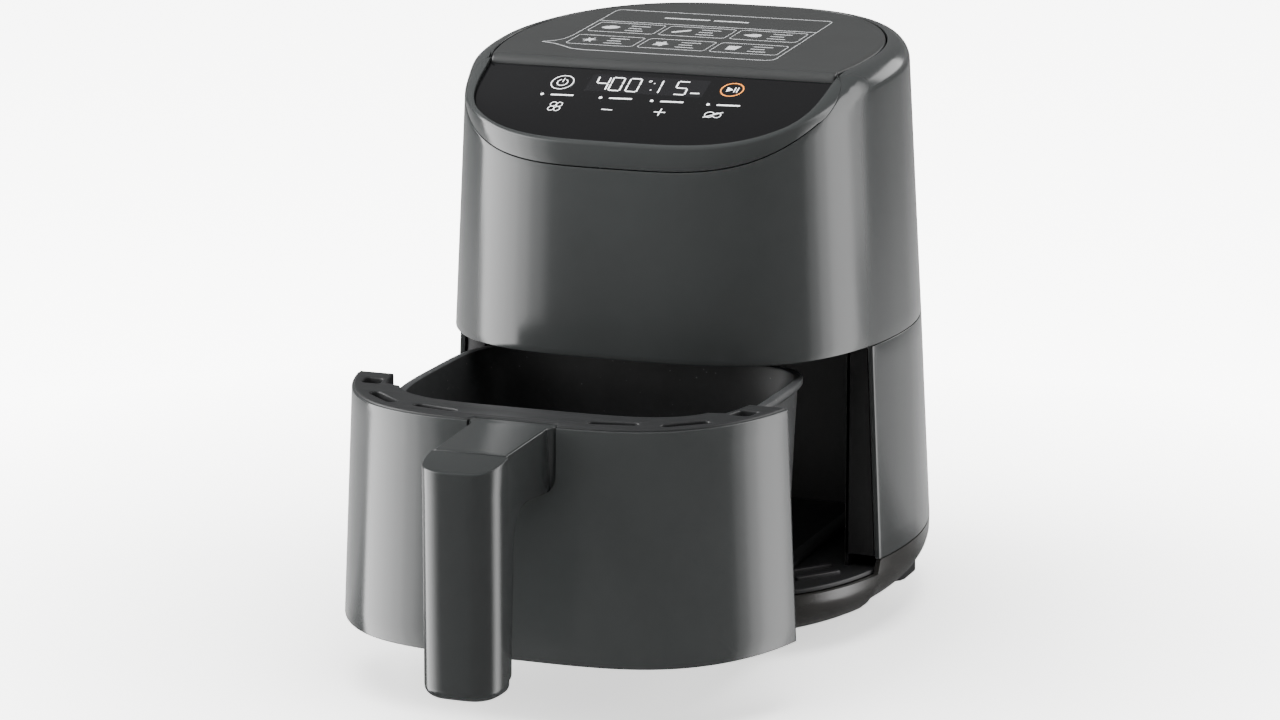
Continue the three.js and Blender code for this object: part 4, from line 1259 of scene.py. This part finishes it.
def stage_material():
    """White floor. Reflections see through its front part, to the strips that reach below it."""
    material, tree, shader = shader_nodes("floor_white")
    path = add_node(tree, "ShaderNodeLightPath")
    mirrored = path.outputs["Is Glossy Ray"]
    place = add_node(tree, "ShaderNodeTexCoord").outputs["Object"]
    tone = ramp(tree, noise(tree, 3.0), [(0.3, (0.94, 0.94, 0.935)), (0.7, (0.95, 0.95, 0.945))])
    # In reflections the floor is grey rather than white: painted shade in the part's reflections of the floor.
    tone_with_painted_reflection_shade = add_node(tree, "ShaderNodeMix", data_type="RGBA")
    tree.links.new(mirrored, tone_with_painted_reflection_shade.inputs["Factor"])
    tree.links.new(tone, tone_with_painted_reflection_shade.inputs[6])
    tone_with_painted_reflection_shade.inputs[7].default_value = (0.42, 0.42, 0.42, 1)
    tree.links.new(tone_with_painted_reflection_shade.outputs[2], shader.inputs["Base Color"])
    shader.inputs["Roughness"].default_value = 0.6
    shader.inputs["Specular IOR Level"].default_value = 0.1

    # The floor glows for camera rays only, and less near the part: a painted soft shadow round the part.
    away = add_node(tree, "ShaderNodeVectorMath", operation="LENGTH")
    tree.links.new(place, away.inputs[0])
    glow_with_painted_shadow = add_node(tree, "ShaderNodeMapRange")
    glow_with_painted_shadow.inputs["From Min"].default_value = 0.12
    glow_with_painted_shadow.inputs["From Max"].default_value = 0.55
    glow_with_painted_shadow.inputs["To Min"].default_value = FLOOR_GLOW[0]
    glow_with_painted_shadow.inputs["To Max"].default_value = FLOOR_GLOW[1]
    tree.links.new(away.outputs["Value"], glow_with_painted_shadow.inputs["Value"])
    lift = maths(tree, "MULTIPLY", path.outputs["Is Camera Ray"], glow_with_painted_shadow.outputs["Result"])
    shader.inputs["Emission Color"].default_value = (1, 1, 0.99, 1)
    tree.links.new(lift, shader.inputs["Emission Strength"])

    mix = add_node(tree, "ShaderNodeMixShader")
    tree.links.new(see_through(tree, place, mirrored), mix.inputs["Fac"])
    tree.links.new(shader.outputs["BSDF"], mix.inputs[1])
    tree.links.new(add_node(tree, "ShaderNodeBsdfTransparent").outputs["BSDF"], mix.inputs[2])
    tree.links.new(mix.outputs["Shader"], tree.nodes["Material Output"].inputs["Surface"])
    return material


def build_stage():
    """A floor that curves up into a low plain backdrop."""
    half = 6.0
    turn = 0.6
    rows = [(-6.0, 0.0), (3.2, 0.0)]
    for k in range(1, 13):
        a = math.pi / 2 * k / 12
        rows.append((3.2 + turn * math.sin(a), turn * (1 - math.cos(a))))
    points = [(x, y, z) for y, z in rows for x in (-half, half)]
    mesh = bpy.data.meshes.new("floor")
    mesh.from_pydata(points, [], grid_faces(len(rows), 2))
    mesh.polygons.foreach_set("use_smooth", [True] * len(mesh.polygons))
    mesh.materials.append(stage_material())
    floor = bpy.data.objects.new("floor", mesh)
    bpy.context.scene.collection.objects.link(floor)


def add_light(name, place, target, size, power, mirrored=True):
    data = bpy.data.lights.new(name, "AREA")
    data.shape = "RECTANGLE"
    data.size, data.size_y = size
    data.energy = power
    lamp = bpy.data.objects.new(name, data)
    bpy.context.scene.collection.objects.link(lamp)
    lamp.location = place
    lamp.rotation_euler = (Vector(target) - Vector(place)).to_track_quat("-Z", "Y").to_euler()
    lamp.visible_camera = False
    lamp.visible_glossy = mirrored


def add_strips(name, start, glows, step):
    """Tall strips side by side round the part, one for each glow, so that a band fades along its width."""
    reach, tall = 1.25, 2.2
    wide = reach * math.radians(step)
    for k, glow in enumerate(glows):
        azimuth = math.radians(start + step * (k + 0.5))
        place = (reach * math.sin(azimuth), -reach * math.cos(azimuth), 0.25)
        add_light(f"{name}_{k}", place, (0, 0, 0.25), (wide, tall), glow * math.pi * wide * tall)


def build_lights():
    """A band of strips on each side, soft lights overhead and behind, and a dim room."""
    world = bpy.data.worlds.new("studio")
    world.use_nodes = True
    background = world.node_tree.nodes["Background"]
    background.inputs["Color"].default_value = (1, 1, 1, 1)
    background.inputs["Strength"].default_value = 0.18
    bpy.context.scene.world = world
    add_strips("left_strip", -92, (10.5, 10.5, 10.0, 9.0, 7.5, 5.0, 2.2), 8.5)
    add_strips("right_strip", 92, (1.2, 3.2, 5.2, 5.0, 2.2), 8.5)
    add_light("top_soft", (0.0, -0.35, 1.9), (0, 0, 0.1), (1.5, 1.5), 80, mirrored=False)
    add_light("rear_right", (1.0, 2.3, 0.85), (0, 0, 0.2), (1.0, 0.8), 9)


def build_camera():
    """A long lens from the front right, a little above the drawer's rim."""
    azimuth, elevation = 0.362, 0.227
    distance = 1964 * MM
    target = Vector((0, (-60 + SHIFT_Y) * MM, 120 * MM))
    right = Vector((math.cos(azimuth), math.sin(azimuth), 0))
    level = math.cos(elevation)
    back = Vector((math.sin(azimuth) * level, -math.cos(azimuth) * level, math.sin(elevation)))
    data = bpy.data.cameras.new("camera")
    data.sensor_width = 36
    data.lens = 127.2
    data.clip_end = 50
    camera = bpy.data.objects.new("camera", data)
    bpy.context.scene.collection.objects.link(camera)
    camera.location = target + back * distance - right * 3.0 * MM
    camera.rotation_euler = (-back).to_track_quat("-Z", "Y").to_euler()
    bpy.context.scene.camera = camera


build_camera()
build_upper_housing()
build_collar()
build_lower_shell()
build_base()
build_top_cover()
build_glass()
build_panel_marks()
build_cover_marks()
build_bay()
build_chamber_plate()
build_drawer_front()
build_rim_cap()
build_basket()
build_handle_arm()
build_grip()
build_crisper_plate()
build_element()
finish_cad_nodes()
build_stage()
build_lights()

bpy.context.view_layer.update()
